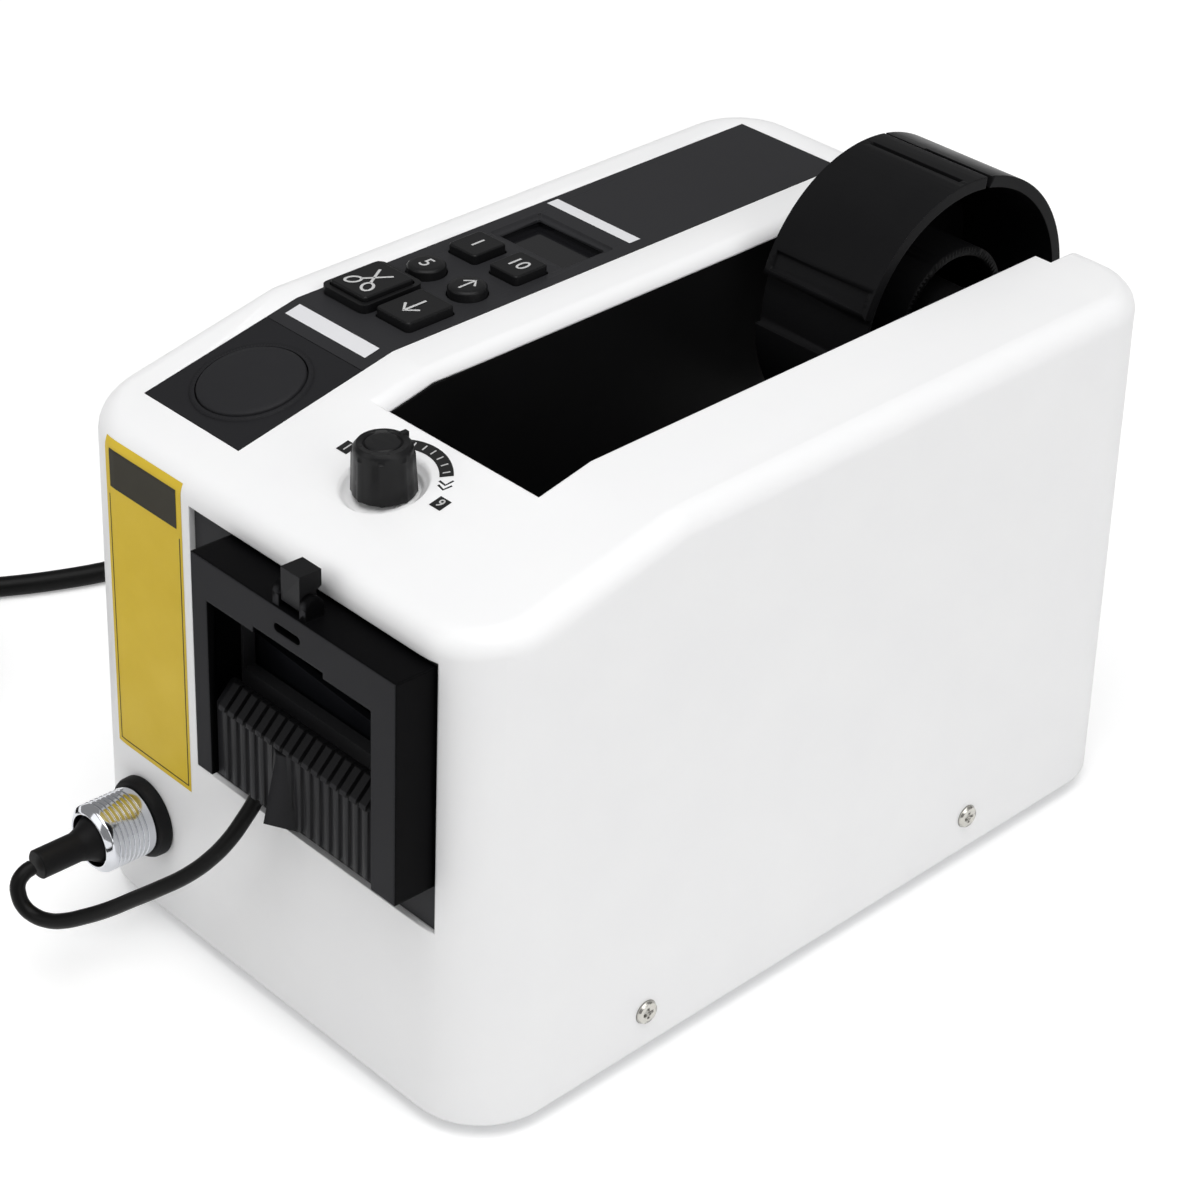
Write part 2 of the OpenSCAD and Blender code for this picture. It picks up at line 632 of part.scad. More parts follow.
// Pressure knob on the deck and the spring that it loads
cup_z = -7.4;
cup_d = 9;
bar_z = pinch_z + pinch_d / 2 + 1.5;
bar_t = 2.2;
bar_y0 = 24.6;
bar_y1 = 36;
spring_d = 8;
spring_wire = 0.9;
spring_foot = top_z(knob_y) - bar_z - bar_t - seat_gap;
module pressure_knob() {
    // Round body with an eight-sided grip, a ring groove on top and a pointer at its rear edge
    top_d = knob_d - 1.5;
    color(black) place() upright(knob_x, knob_y) translate([0, 0, seat_gap - dish_t]) difference() {
        union() {
            cylinder(d1 = knob_d - 0.6, d2 = top_d, h = knob_h - 1);
            translate([0, 0, knob_h - 1]) cylinder(d1 = top_d, d2 = top_d - 1.6, h = 1);
            rotate(46.5) cylinder(d1 = knob_d, d2 = knob_d - 0.8, h = knob_h - 2.2, $fn = 8);
            translate([-0.6, 4.6, knob_h - 1.6]) cube([1.2, top_d / 2 - 4.4, 1.9]);
        }
        translate([0, 0, knob_h - 0.5]) difference() {
            cylinder(d = 8.6, h = 1);
            translate([0, 0, -1]) cylinder(d = 7.4, h = 3);
        }
        translate([0, 0, -eps]) cylinder(d = pin_d + 2 * press_gap, h = knob_h - 4);
    }
}
module knob_shaft() {
    color(steel) place() upright(knob_x, knob_y) {
        translate([0, 0, cup_z]) cylinder(d = pin_d, h = knob_h - 9 - cup_z);
        translate([0, 0, cup_z]) cylinder(d = cup_d, h = 1.5);
    }
}
spring_turns = 5;
module pressure_spring() {
    rise = spring_foot + cup_z - spring_wire;
    r = (spring_d - spring_wire) / 2;
    n = 14 * spring_turns;
    path = [for (i = [0:n]) let (a = 360 * spring_turns * i / n)
        [r * cos(a), r * sin(a), spring_wire / 2 - spring_foot + rise * i / n]];
    color(steel) place() upright(knob_x, knob_y) tube(path, spring_wire, 6, [0, 0, 1]);
}

// Arm that presses the upper roller down, swinging about a rod behind it
pivot_y = 38;
pivot_z = pinch_z + 4.6;
arm_t = 1.6;
arm_x0 = frame_x0 + 0.5;
arm_x1 = frame_x1 - 0.5;
module arm_side() {
    union() {
        hull() {
            translate([feed_y, pinch_z]) circle(r = 4);
            translate([pivot_y, pivot_z]) circle(r = 4.4);
            translate([bar_y0, bar_z]) square([bar_y1 - bar_y0, bar_t]);
        }
    }
}
module pinch_arm() {
    color(steel) place() difference() {
        union() {
            for (x = [arm_x0, arm_x1 - arm_t]) along_x(x) linear_extrude(arm_t) arm_side();
            box([arm_x0, bar_y0, bar_z], [arm_x1, bar_y1, bar_z + bar_t]);
        }
        along_x(arm_x0 - 1) translate([feed_y, pinch_z]) cylinder(d = pin_d + 2 * slip_gap, h = big);
        along_x(arm_x0 - 1) translate([pivot_y, pivot_z]) cylinder(d = pin_d + 2 * slip_gap, h = big);
    }
}
module pinch_roller() {
    w = roller_w - 2;
    color([0.3, 0.3, 0.3]) place() {
        along_x(bay_x - w / 2) translate([feed_y, pinch_z]) difference() {
            cylinder(d = pinch_d, h = w);
            for (i = [1:8]) translate([0, 0, i * w / 9 - 0.6]) difference() {
                cylinder(d = pinch_d + 1, h = 1.2);
                translate([0, 0, -1]) cylinder(d = pinch_d - 1.6, h = 4);
            }
        }
        along_x(arm_x0) translate([feed_y, pinch_z]) cylinder(d = pin_d, h = arm_x1 - arm_x0);
    }
}
module pinch_pivot() {
    color(steel) place() along_x(frame_x0 - frame_t) translate([pivot_y, pivot_z])
        cylinder(d = pin_d, h = frame_x1 - frame_x0 + 2 * frame_t);
}

// Driven roller, its shaft, bushes and gear
gear_x = frame_x1 + frame_t + 1.4;
gear_w = 5;
gear_r = gear_m * gear_teeth / 2;
pinion_r = gear_m * pinion_teeth / 2;
mesh_gap = 0.12;
mesh_a = 12;
motor_d = 19;
motor_y = feed_y + (gear_r + pinion_r + mesh_gap) * sin(mesh_a);
motor_z = feed_z - (gear_r + pinion_r + mesh_gap) * cos(mesh_a);
module gear_2d(teeth) {
    r = gear_m * teeth / 2;
    step = 360 / teeth;
    circle(r = r - 1.1 * gear_m, $fn = 2 * teeth);
    for (i = [0:teeth - 1]) rotate(i * step) polygon([
        [r - 1.3 * gear_m, -0.92 * gear_m], [r, -0.68 * gear_m], [r + 0.85 * gear_m, -0.3 * gear_m],
        [r + 0.85 * gear_m, 0.3 * gear_m], [r, 0.68 * gear_m], [r - 1.3 * gear_m, 0.92 * gear_m]]);
}
module feed_roller() {
    color([0.14, 0.14, 0.15]) place() along_x(bay_x - roller_w / 2) translate([feed_y, feed_z]) difference() {
        cylinder(d = roller_d, h = roller_w);
        translate([0, 0, -1]) cylinder(d = shaft_d + 2 * press_gap, h = big);
        for (i = [1:7]) translate([0, 0, i * roller_w / 8 - 0.8]) difference() {
            cylinder(d = roller_d + 1, h = 1.6);
            translate([0, 0, -1]) cylinder(d = roller_d - 2, h = 4);
        }
    }
}
module feed_shaft() {
    color(steel) place() along_x(frame_x0 - frame_t - 2) translate([feed_y, feed_z])
        cylinder(d = shaft_d, h = gear_x + gear_w + 1 - frame_x0 + frame_t + 2);
}
module feed_gear() {
    color(white) place() along_x(gear_x) translate([feed_y, feed_z]) difference() {
        union() {
            linear_extrude(gear_w) rotate(270 + mesh_a) gear_2d(gear_teeth);
            translate([0, 0, -0.9]) cylinder(d = 11, h = gear_w + 0.9);
        }
        translate([0, 0, -2]) cylinder(d = shaft_d + 2 * press_gap, h = big);
        for (a = [0:60:300]) rotate(a) translate([gear_r * 0.58, 0, -1]) cylinder(d = 5, h = big);
    }
}
module motor_pinion() {
    turn = 90 + mesh_a + 180 / pinion_teeth;
    color([0.8, 0.65, 0.3]) place() along_x(gear_x) translate([motor_y, motor_z]) {
        linear_extrude(gear_w) rotate(turn) gear_2d(pinion_teeth);
        translate([0, 0, frame_x1 - gear_x]) cylinder(d = 3, h = gear_w + gear_x - frame_x1);
    }
}
bush_d = 10;
module shaft_bushes() {
    color([0.78, 0.6, 0.32]) place() for (side = [0, 1])
        along_x(side == 0 ? frame_x0 - frame_t - 1 : frame_x1 - 1) translate([feed_y, feed_z]) difference() {
            union() {
                translate([0, 0, side == 0 ? 0 : 0.5]) cylinder(d = bush_d, h = frame_t + (side == 0 ? 1.5 : 0.5));
                translate([0, 0, side == 0 ? frame_t + 1 : 0]) cylinder(d = bush_d + 3, h = 1);
            }
            translate([0, 0, -1]) cylinder(d = shaft_d + 2 * slip_gap, h = big);
        }
}
module feed_motor() {
    color(steel) place() along_x(frame_x1 - 26.1) translate([motor_y, motor_z]) {
        cylinder(d = motor_d, h = 26);
        translate([0, 0, -2]) cylinder(d = 6, h = 2.1);
    }
}

frame_top = outlet_z + 22;
module frame_side() {
    difference() {
        translate([frame_front, base_z]) square([frame_back - frame_front, frame_top - base_z]);
        translate([feed_y, feed_z]) circle(d = bush_d + 2 * press_gap);
        translate([pivot_y, pivot_z]) circle(d = pin_d + 2 * press_gap);
        translate([frame_back, frame_top]) circle(r = 2.2);
    }
}
module left_frame() {
    color(steel) place() {
        along_x(frame_x0 - frame_t) linear_extrude(frame_t) frame_side();
        box([frame_x0 - 12, frame_front, base_z], [frame_x0 - frame_t + eps, frame_back, base_z + frame_t]);
    }
}
module right_frame() {
    color(steel) place() difference() {
        union() {
            along_x(frame_x1) linear_extrude(frame_t) frame_side();
            box([frame_x1 + frame_t - eps, frame_front, base_z],
                [foot_x - foot_screw_d / 2 - seat_gap, frame_back, base_z + frame_t]);
        }
        along_x(frame_x1 - 1) translate([motor_y, motor_z]) cylinder(d = 6, h = 5);
    }
}

// Black plate set into the front opening, held behind the wall by its rim
module front_plate() {
    x0 = open_x - open_w / 2;
    x1 = open_x + open_w / 2;
    color(dark) place() lean_front() difference() {
        union() {
            box([x0 + seat_gap, recess, open_z0 + seat_gap], [x1 - seat_gap, wall + 1.5, open_z1 - seat_gap]);
            box([x0 - 3, wall + 0.05, open_z0 - 3],
                [housing_w / 2 - side_draft - corner_r, wall + 1.5, open_z1 + 1]);
        }
        box([mouth_x0 - 2, 0, outlet_z - 7], [mouth_x1 - 2, 8, outlet_z + 13]);
        box([latch_x - cheek_gap / 2, 0, guard_z1 - 10.4], [latch_x + cheek_gap / 2, 8, guard_z1 - 3.4]);
    }
}
// Guard: a frame with two legs, a notched upper bar and cheeks for the latch
cheek_gap = 6.6;
latch_x = guard_x - 1;
latch_y = -6.5;
latch_z = guard_z1 + 2.6;
module guard() {
    y0 = -guard_d;
    y1 = recess - 0.05;
    color(dark) place() lean_front() difference() {
        union() {
            box([guard_x0, y0, guard_z0], [guard_x1, y1, guard_z1]);
            for (sx = [-1, 1]) translate([latch_x + sx * (cheek_gap / 2 + 1), 0, 0]) along_x(-1) linear_extrude(2) hull() {
                translate([latch_y, latch_z]) circle(r = 2.4);
                translate([latch_y - 2.4, guard_z1 - 4]) square([4.8, 1]);
            }
        }
        // Hollow behind the bar and legs, the mouth, its shallow notch and the slot in the bar
        box([guard_x0 + guard_wall, y0 + guard_wall, 0], [guard_x1 - guard_wall, big, guard_z1 - guard_wall]);
        box([mouth_x0, -big / 4, 0], [mouth_x1, big, mouth_z1]);
        box([guard_x - 12.2, -big / 4, mouth_z1 - 1], [guard_x + 10.4, big, mouth_z1 + 1.4]);
        translate([latch_x, -guard_d - 1, guard_z1 - 4.8]) rotate([-90, 0, 0]) linear_extrude(5) hull()
            for (sx = [-1, 1]) translate([sx * 3.2, 0]) circle(d = 2);
        box([latch_x - cheek_gap / 2, y0 + 2.4, guard_z1 - 4], [latch_x + cheek_gap / 2, y1 - 3.4, big]);
    }
    color(dark) place() lean_front() translate([latch_x - cheek_gap / 2 - 1, latch_y, latch_z])
        rotate([0, 90, 0]) cylinder(d = 2, h = cheek_gap + 2);
}
module guard_latch() {
    w = cheek_gap - 0.6;
    z = guard_z1;
    back = wall + 1.5;
    color(dark) place() lean_front() difference() {
        along_x(latch_x - w / 2) linear_extrude(w) polygon([
            [latch_y + 3.6, z + 9.4], [latch_y - 2, z + 9.4], [latch_y - 2, z + 1.6], [latch_y + 0.6, z + 0.2],
            [latch_y + 1.4, z - 6.8], [back + 1.6, z - 6.8], [back + 1.6, z - 2.6], [back + 0.5, z - 2.6],
            [back + 0.1, z - 4.6], [latch_y + 3.2, z - 4.6], [latch_y + 2.8, z + 1], [latch_y + 2.2, z + 4.8],
            [latch_y + 3.6, z + 5.6]]);
        translate([latch_x - w, latch_y, latch_z]) rotate([0, 90, 0]) cylinder(d = 2 + 2 * slip_gap, h = 2 * w);
    }
}
// Ribbed apron between the guard's legs, with a toothed upper lip and a pointed beak
apron_y = 1.2 - guard_d;
apron_z1 = guard_z0 + 18.2;
lip_z1 = apron_z1 + 4;
module guard_apron() {
    n = floor((mouth_w - 2) / rib_pitch);
    x0 = (mouth_x0 + mouth_x1) / 2 - n * rib_pitch / 2;
    beak_x = guard_x - 5.6;
    color(dark) place() lean_front() {
        difference() {
            union() {
                along_x(mouth_x0 + 0.15) linear_extrude(mouth_w - 0.3) polygon([
                    [apron_y + 0.5, guard_z0], [apron_y + 0.5, apron_z1], [apron_y + 4.3, lip_z1],
                    [apron_y + 5.6, lip_z1], [apron_y + 5.6, lip_z1 - 1.6], [apron_y + 2.4, apron_z1 - 2],
                    [apron_y + 2.4, guard_z0]]);
                for (i = [0:n - 1]) {
                    xr = x0 + (i + 0.5) * rib_pitch;
                    along_x(xr - 0.8) linear_extrude(1.6) polygon([
                        [apron_y, guard_z0], [apron_y, apron_z1 - 0.6], [apron_y + 1, apron_z1 - 0.6],
                        [apron_y + 1, guard_z0]]);
                    along_x(xr - 1) linear_extrude(2) polygon([
                        [apron_y - 0.8, apron_z1 - 0.2], [apron_y - 0.5, apron_z1 + 0.8], [apron_y + 3.4, lip_z1 + 0.7],
                        [apron_y + 4.8, lip_z1 + 0.5], [apron_y + 4.8, lip_z1 - 1], [apron_y + 0.6, apron_z1 - 1]]);
                }
                polyhedron(
                    points = [[beak_x - 5.6, apron_y + 1, guard_z0 - 1], [beak_x + 5.6, apron_y + 1, guard_z0 - 1],
                        [beak_x + 4, apron_y + 1, apron_z1 - 1.4], [beak_x - 4, apron_y + 1, apron_z1 - 1.4],
                        [beak_x, -beak_d, beak_z], [beak_x, apron_y - 1, apron_z1 - 1.4]],
                    faces = [[0, 4, 1], [1, 4, 5], [1, 5, 2], [0, 3, 5], [0, 5, 4], [3, 2, 5], [0, 1, 2], [0, 2, 3]]);
            }
            box([beak_x - 20, apron_y + 0.6, guard_z0 - 3], [beak_x + 20, apron_y + 3, guard_z0]);
        }
    }
}
// Photo sensor behind the apron, to which the plug's cable runs
sensor_x = 4;
sensor_z = guard_z0 + 3.7;
module tape_sensor() {
    color(black) place() lean_front() {
        box([sensor_x - 5, -5.6, sensor_z], [sensor_x + 5, recess - 0.05, sensor_z + 11]);
        translate([sensor_x, -2.2, sensor_z + 11 - eps]) cylinder(d = 4, h = 2);
    }
}

// Cutter behind the front plate
bracket_y = 12.6;
bracket_t = frame_front - bracket_y;
blade_y = bracket_y - 2.5 - blade_t;
blade_x = frame_x0 - 5;
blade_z = outlet_z - 3;
crank_x = frame_x0 + 8.4;
crank_z = outlet_z - 31;
crank_r = 2.1;
swing = 8.5;
module along_y(y) { translate([0, y, 0]) rotate([-90, 0, 0]) mirror([0, 1, 0]) children(); }
module cutter_bracket() {
    color(steel) place() difference() {
        union() {
            box([blade_x - 7, bracket_y, outlet_z - 41], [frame_x1 + frame_t, bracket_y + bracket_t - 0.02, outlet_z + 17]);
            along_y(bracket_y - 2.35) translate([blade_x, blade_z]) cylinder(d = 9, h = 2.4);
        }
        box([bay_x - roller_w / 2 - 1, 0, outlet_z - 5], [bay_x + roller_w / 2 + 1, big, outlet_z + 4]);
        along_y(0) translate([blade_x, blade_z]) cylinder(d = 5 + 2 * press_gap, h = big);
        along_y(0) translate([crank_x, crank_z]) cylinder(d = 5, h = big);
    }
}
module fixed_blade() {
    color([0.8, 0.81, 0.83]) place() difference() {
        along_x(frame_x0 - 0.6) linear_extrude(frame_x1 - frame_x0 + 1.2) polygon([
            [bracket_y - 2.35, outlet_z + 0.6], [bracket_y - 1.2, outlet_z + 4.4], [bracket_y - 0.02, outlet_z + 4.4],
            [bracket_y - 0.02, outlet_z + 13], [bracket_y - 2.35, outlet_z + 13]]);
        for (x = [frame_x0 + 6, frame_x1 - 6]) along_y(0) translate([x, outlet_z + 9]) cylinder(d = 3.4, h = big);
    }
}
module moving_blade() {
    tip = frame_x1 + 1.4;
    heel = frame_x0 + 2.4;
    fork_x = crank_x - crank_r;
    color([0.8, 0.81, 0.83]) place() along_y(blade_y) difference() {
        union() {
            translate([blade_x, blade_z]) cylinder(r = 6.4, h = blade_t);
            linear_extrude(blade_t) polygon([[blade_x, blade_z + 5], [heel, outlet_z - 0.4], [tip, outlet_z - 4.7],
                [tip, outlet_z - 12.7], [fork_x + 6, outlet_z - 10.5], [fork_x + 4.25, outlet_z - 12.5],
                [fork_x + 4.25, crank_z - 5], [fork_x + 2.3, crank_z - 5], [fork_x + 2.3, crank_z + 6],
                [fork_x - 2.3, crank_z + 6], [fork_x - 2.3, crank_z - 5], [fork_x - 4.25, crank_z - 5],
                [fork_x - 4.25, outlet_z - 11], [blade_x, blade_z - 5]]);
        }
        translate([blade_x, blade_z, -1]) cylinder(d = 5 + 2 * slip_gap, h = 4);
    }
}
module blade_pivot() {
    color(steel) place() along_y(blade_y - 1) translate([blade_x, blade_z]) {
        cylinder(d = 8, h = 0.9);
        cylinder(d = 5, h = frame_front - blade_y + 1);
    }
}
module crank() {
    color(steel) place() {
        along_y(bracket_y - 2.2) translate([crank_x, crank_z]) cylinder(d = 12, h = 2);
        along_y(bracket_y - 2.2) translate([crank_x, crank_z]) cylinder(d = 3, h = 2.2 + bracket_t - 0.1);
        along_y(blade_y - 0.2) translate([crank_x - crank_r, crank_z]) cylinder(d = 3, h = 2.9 + blade_t - 1);
    }
}
module cutter_motor() {
    color(steel) place() along_y(frame_front) translate([crank_x, crank_z]) {
        cylinder(d = 15.6, h = 25);
        translate([0, 0, 24.9]) cylinder(d = 5, h = 1.6);
    }
}

// Round connector of the sensor: rubber ring, chrome plug and its boot
ring_t = 3.4;
boot_l = 14;
module on_plug() { lean_front() translate([plug_x, 0, plug_z]) rotate([90, 0, 0]) children(); }
module connector_ring() {
    color(black) place() on_plug() difference() {
        union() {
            translate([0, 0, eps]) cylinder(d = plug_d + 3, h = ring_t - 0.8 - eps);
            translate([0, 0, ring_t - 0.8 - eps]) cylinder(d1 = plug_d + 3, d2 = plug_d + 1.4, h = 0.8);
            translate([0, 0, -wall - 8]) cylinder(d = plug_d - 2, h = wall + 8 + eps);
            translate([0, 0, -wall - 3]) cylinder(d = plug_d + 1.5, h = 2.8);
        }
        translate([0, 0, -1.5]) cylinder(d = plug_d - 4.6, h = 10);
    }
}
module sensor_plug() {
    grooves = 6;
    color(steel) place() on_plug() difference() {
        union() {
            translate([0, 0, ring_t]) cylinder(d = plug_d, h = plug_l);
            translate([0, 0, -1.2]) cylinder(d = plug_d - 5.2, h = ring_t + 1.3);
        }
        for (i = [0:grooves - 1]) translate([0, 0, ring_t + 3.4 + i * 1.45]) difference() {
            cylinder(d = plug_d + 1, h = 0.5);
            translate([0, 0, -1]) cylinder(d = plug_d - 0.8, h = 3);
        }
        translate([0, 0, ring_t + plug_l - 6]) cylinder(d = plug_d - 3, h = 10);
        box([-big, -4, ring_t + plug_l - 3], [-plug_d / 4, 4, big]);
    }
}
boot_z = ring_t + plug_l - 6 + 0.1;
module plug_boot() {
    color(black) place() on_plug() translate([0, 0, boot_z]) rotate_extrude()
        polygon([[0, 0], [5.6, 0], [5.6, 5], [4.2, 7.2], [3.5, 9.5], [3.5, boot_l + 5.6], [3.2, boot_l + 5.9],
            [0, boot_l + 5.9]]);
}

// Tube swept along hand-chosen points, its rings turned from a reference direction
function unit(v) = v / norm(v);
function tangent(p, i) = unit(p[min(i + 1, len(p) - 1)] - p[max(i - 1, 0)]);
function ring(p, i, r, sides, ref) =
    let (t = tangent(p, i), u = unit(cross(t, ref)), v = cross(t, u))
    [for (k = [0:sides - 1]) p[i] + r * (cos(360 * k / sides) * u + sin(360 * k / sides) * v)];
module tube(p, d, sides, ref) {
    n = len(p);
    pts = [for (i = [0:n - 1]) each ring(p, i, d / 2, sides, ref)];
    wall_faces = [for (i = [0:n - 2], k = [0:sides - 1])
        let (a = i * sides + k, b = i * sides + (k + 1) % sides) each [[a, b + sides, b], [a, a + sides, b + sides]]];
    cap_0 = [for (k = [1:sides - 2]) [0, k, k + 1]];
    e = (n - 1) * sides;
    cap_1 = [for (k = [1:sides - 2]) [e, e + k + 1, e + k]];
    polyhedron(points = pts, faces = concat(wall_faces, cap_0, cap_1), convexity = 10);
}
cable_route = [
    [-44.5, -30.8, 25.5], [-44.5, -33, 25], [-44.2, -35, 23.4], [-43.2, -35.8, 21], [-41.5, -35.8, 18.8],
    [-38.8, -35, 17.4], [-35, -33.6, 17.4], [-31.2, -32, 18.8], [-27, -29.8, 21.2], [-21.4, -27, 25],
    [-15, -24, 30.2], [-8.8, -21, 35.3], [-3.4, -17.5, 40.1], [0.6, -14, 45], [3.2, -10.4, 50],
    [4, -7, 54], [4, -4, 57], [4, -2, 60], [4, -1.05, 62.5], [4, -0.97, 63.95]];
module sensor_cable() { color(black) place() tube(cable_route, cable_d, 8, [0.6, 0.8, -0.3]); }

// Rocker switch on the rear face
rocker_r = 7.9;
module rocker_switch() {
    color(black) place() difference() {
        union() {
            box([switch_x - 6.3, housing_d - 14, switch_z - 9.3], [switch_x + 6.3, housing_d + eps, switch_z + 9.3]);
            box([switch_x - 7.6, housing_d, switch_z - 10.6], [switch_x + 7.6, housing_d + 1.6, switch_z + 10.6]);
        }
        along_x(switch_x - 5) translate([housing_d, switch_z]) cylinder(r = rocker_r + 0.15, h = 10);
    }
}
module rocker() {
    color(dark) place() along_x(switch_x - 4.85) translate([housing_d, switch_z]) linear_extrude(9.7) intersection() {
        circle(r = rocker_r);
        polygon([[-5, -9], [0.6, -9], [1.8, 0], [4.2, 9], [-5, 9]]);
    }
}

// Mains cord: strain relief and free run, then the stored coil and its plug
relief_l = 26;
relief_end = housing_d + relief_l;
module strain_relief() {
    color(black) place() translate([cord_x, housing_d, cord_z]) rotate([-90, 0, 0]) difference() {
        union() {
            translate([0, 0, -wall - 4]) cylinder(d = 9, h = wall + 4 + eps);
            cylinder(d = 12, h = 2.4);
            translate([0, 0, 2.3]) cylinder(d1 = 10.4, d2 = cord_d + 1.4, h = relief_l - 2.3);
        }
        for (i = [0:5]) translate([0, 0, 6 + i * 3]) difference() {
            cylinder(d = 20, h = 1.1);
            translate([0, 0, -1]) cylinder(d = cord_d + 0.6, h = 4);
        }
    }
}
cord_route = [
    [-42, 239, 18], [-42, 246, 18], [-42.5, 253, 17], [-45, 260, 14.5], [-50, 267, 11], [-57, 273, 7],
    [-66, 277, 3], [-77, 279, 0.3], [-88, 278, -1], [-99, 275, -1.2], [-109, 270, -1.2], [-118, 263, -1.2],
    [-126, 254, -1.2], [-133, 243, -1.2], [-139, 231, -1.2], [-144, 218, -1.2], [-149, 204, -1.2],
    [-153, 189, -1.2], [-156, 174, -1.2], [-158.5, 158, -1.2], [-160.5, 142, -1.2], [-162, 126, -1.2],
    [-163.6, 110, -1.2], [-166, 94, -1.2], [-169.4, 79, -1.2], [-175, 65, -1.2], [-183, 50.4, -1.2],
    [-192, 37, -1.2], [-198, 29, -1.2], [-204, 21, -1.2]];
module mains_cord() { color(black) place() tube(cord_route, cord_d, 10, [0, 0, 1]); }

// Coil in two layers: in on the floor, up in the half turn where it reverses, and out on top
coil_r = 38;
coil_pitch = 6.2;
coil_turns = 5.25;
coil_climb = 0.5;
route_end = cord_route[len(cord_route) - 1];
route_dir = tangent(cord_route, len(cord_route) - 1);
coil_a0 = atan2(route_dir[1], route_dir[0]) - 90;
coil_c = route_end + cord_d * route_dir - coil_r * [cos(coil_a0), sin(coil_a0), 0];
function coil_at(t) =
    let (inward = min(t, coil_turns - t), u = (t - coil_turns / 2) / coil_climb + 0.5, rise = min(max(u, 0), 1),
        r = coil_r - coil_pitch * inward, a = coil_a0 + 360 * t)
    coil_c + [r * cos(a), r * sin(a), coil_pitch * rise * rise * (3 - 2 * rise)];
coil_steps = round(24 * coil_turns);
coil_turn = [for (i = [0:coil_steps]) coil_at(coil_turns * i / coil_steps)];
coil_end = coil_turn[coil_steps] + cord_d * tangent(coil_turn, coil_steps);
coil_path = concat([route_end], coil_turn, [coil_end]);
coil_gap = min([for (i = [0:coil_steps - 12], j = [i + 12:coil_steps]) norm(coil_turn[i] - coil_turn[j])]) - cord_d;
module cord_coil() {
    echo(least_gap_in_coil = coil_gap);
    color(black) place() tube(coil_path, cord_d, 6, [0, 0, 1]);
}

module mains_plug() {
    t = coil_end - coil_turn[coil_steps];
    color(black) place() translate(coil_end) rotate(atan2(t[1], t[0])) rotate([0, 90, 0]) {
        cylinder(d1 = cord_d + 1, d2 = 11, h = 14);
        hull() {
            translate([0, 0, 13]) cylinder(d = 11, h = 1, $fn = 32);
            translate([0, 0, 24]) linear_extrude(16) offset(r = 4, $fn = 24) square([8, 18], center = true);
        }
        for (sy = [-1, 1]) translate([0, sy * 9.5, 40 - eps]) cylinder(d = 4.6, h = 19);
    }
}

housing();
base_plate();
rubber_feet();
case_screws();
bay_liner();
axle_seats();
reel_axle();
reel_hub();
reel_front_pad();
reel_rear_pad();
control_panel();
button_plate();
feed_button();
cut_key_bezel();
cut_key();
down_key();
up_key();
preset_key();
unit_key_a();
unit_key_b();
display_window();
display_module();
keypad_board();
main_board();
transformer();
pressure_knob();
knob_shaft();
pressure_spring();
pinch_arm();
pinch_roller();
pinch_pivot();
feed_roller();
feed_shaft();
feed_gear();
shaft_bushes();
feed_motor();
motor_pinion();
left_frame();
right_frame();
front_plate();
guard();
guard_apron();
guard_latch();
tape_sensor();
cutter_bracket();
fixed_blade();
moving_blade();
blade_pivot();
crank();
cutter_motor();
connector_ring();
sensor_plug();
plug_boot();
sensor_cable();
rocker_switch();
rocker();
strain_relief();
mains_cord();
cord_coil();
mains_plug();
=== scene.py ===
import json
import math

import bmesh
import bpy
from mathutils import Matrix, Vector
from mathutils.bvhtree import BVHTree


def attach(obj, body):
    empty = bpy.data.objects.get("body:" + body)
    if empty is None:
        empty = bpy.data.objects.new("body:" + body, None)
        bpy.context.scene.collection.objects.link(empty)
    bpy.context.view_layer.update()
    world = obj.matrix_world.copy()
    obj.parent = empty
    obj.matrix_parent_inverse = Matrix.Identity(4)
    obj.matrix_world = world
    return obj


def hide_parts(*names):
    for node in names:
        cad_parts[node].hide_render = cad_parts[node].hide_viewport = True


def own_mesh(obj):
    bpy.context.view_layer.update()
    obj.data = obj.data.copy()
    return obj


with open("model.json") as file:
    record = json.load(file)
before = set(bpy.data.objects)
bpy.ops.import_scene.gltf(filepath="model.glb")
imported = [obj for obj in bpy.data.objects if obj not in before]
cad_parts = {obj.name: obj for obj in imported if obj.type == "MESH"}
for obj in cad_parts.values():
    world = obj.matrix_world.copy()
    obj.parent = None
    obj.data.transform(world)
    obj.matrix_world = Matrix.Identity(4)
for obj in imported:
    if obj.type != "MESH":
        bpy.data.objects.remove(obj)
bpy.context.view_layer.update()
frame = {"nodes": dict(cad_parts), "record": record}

nodes = frame["nodes"]

# The machine's own measures, in millimetres from the housing's front bottom edge
TOP_H = 132
FRONT_H = 120
SLOPE_D = 60
# The frame's origin lies this far behind that edge, and under it by the height of the feet
MIDDLE_Y = 105.5236
FOOT_H = 4
# The front leans back by this angle
LEAN = math.radians(2)
SLOPE = math.atan((TOP_H - FRONT_H) / SLOPE_D)

PLACE = Matrix.Scale(0.001, 4) @ Matrix.Translation((0, -MIDDLE_Y, FOOT_H))
FRONT = PLACE @ Matrix.Rotation(-LEAN, 4, "X")


def deck(x, y):
    """Frame in millimetres on the top at (x, y), square to the slope or to the flat part."""
    if y < SLOPE_D:
        z = FRONT_H + (TOP_H - FRONT_H) * y / SLOPE_D
        return PLACE @ Matrix.Translation((x, y, z)) @ Matrix.Rotation(SLOPE, 4, "X")
    return PLACE @ Matrix.Translation((x, y, TOP_H))


# Camera at the photograph's place: angles in degrees, lens and sensor in millimetres, place in metres
CAMERA_AZIMUTH, CAMERA_ELEVATION, CAMERA_ROLL = 46.45, 32.99, 0.886
CAMERA_LENS, CAMERA_SENSOR = 92.807, 36
CAMERA_AT = (0.43848, -0.42162, 0.45789)


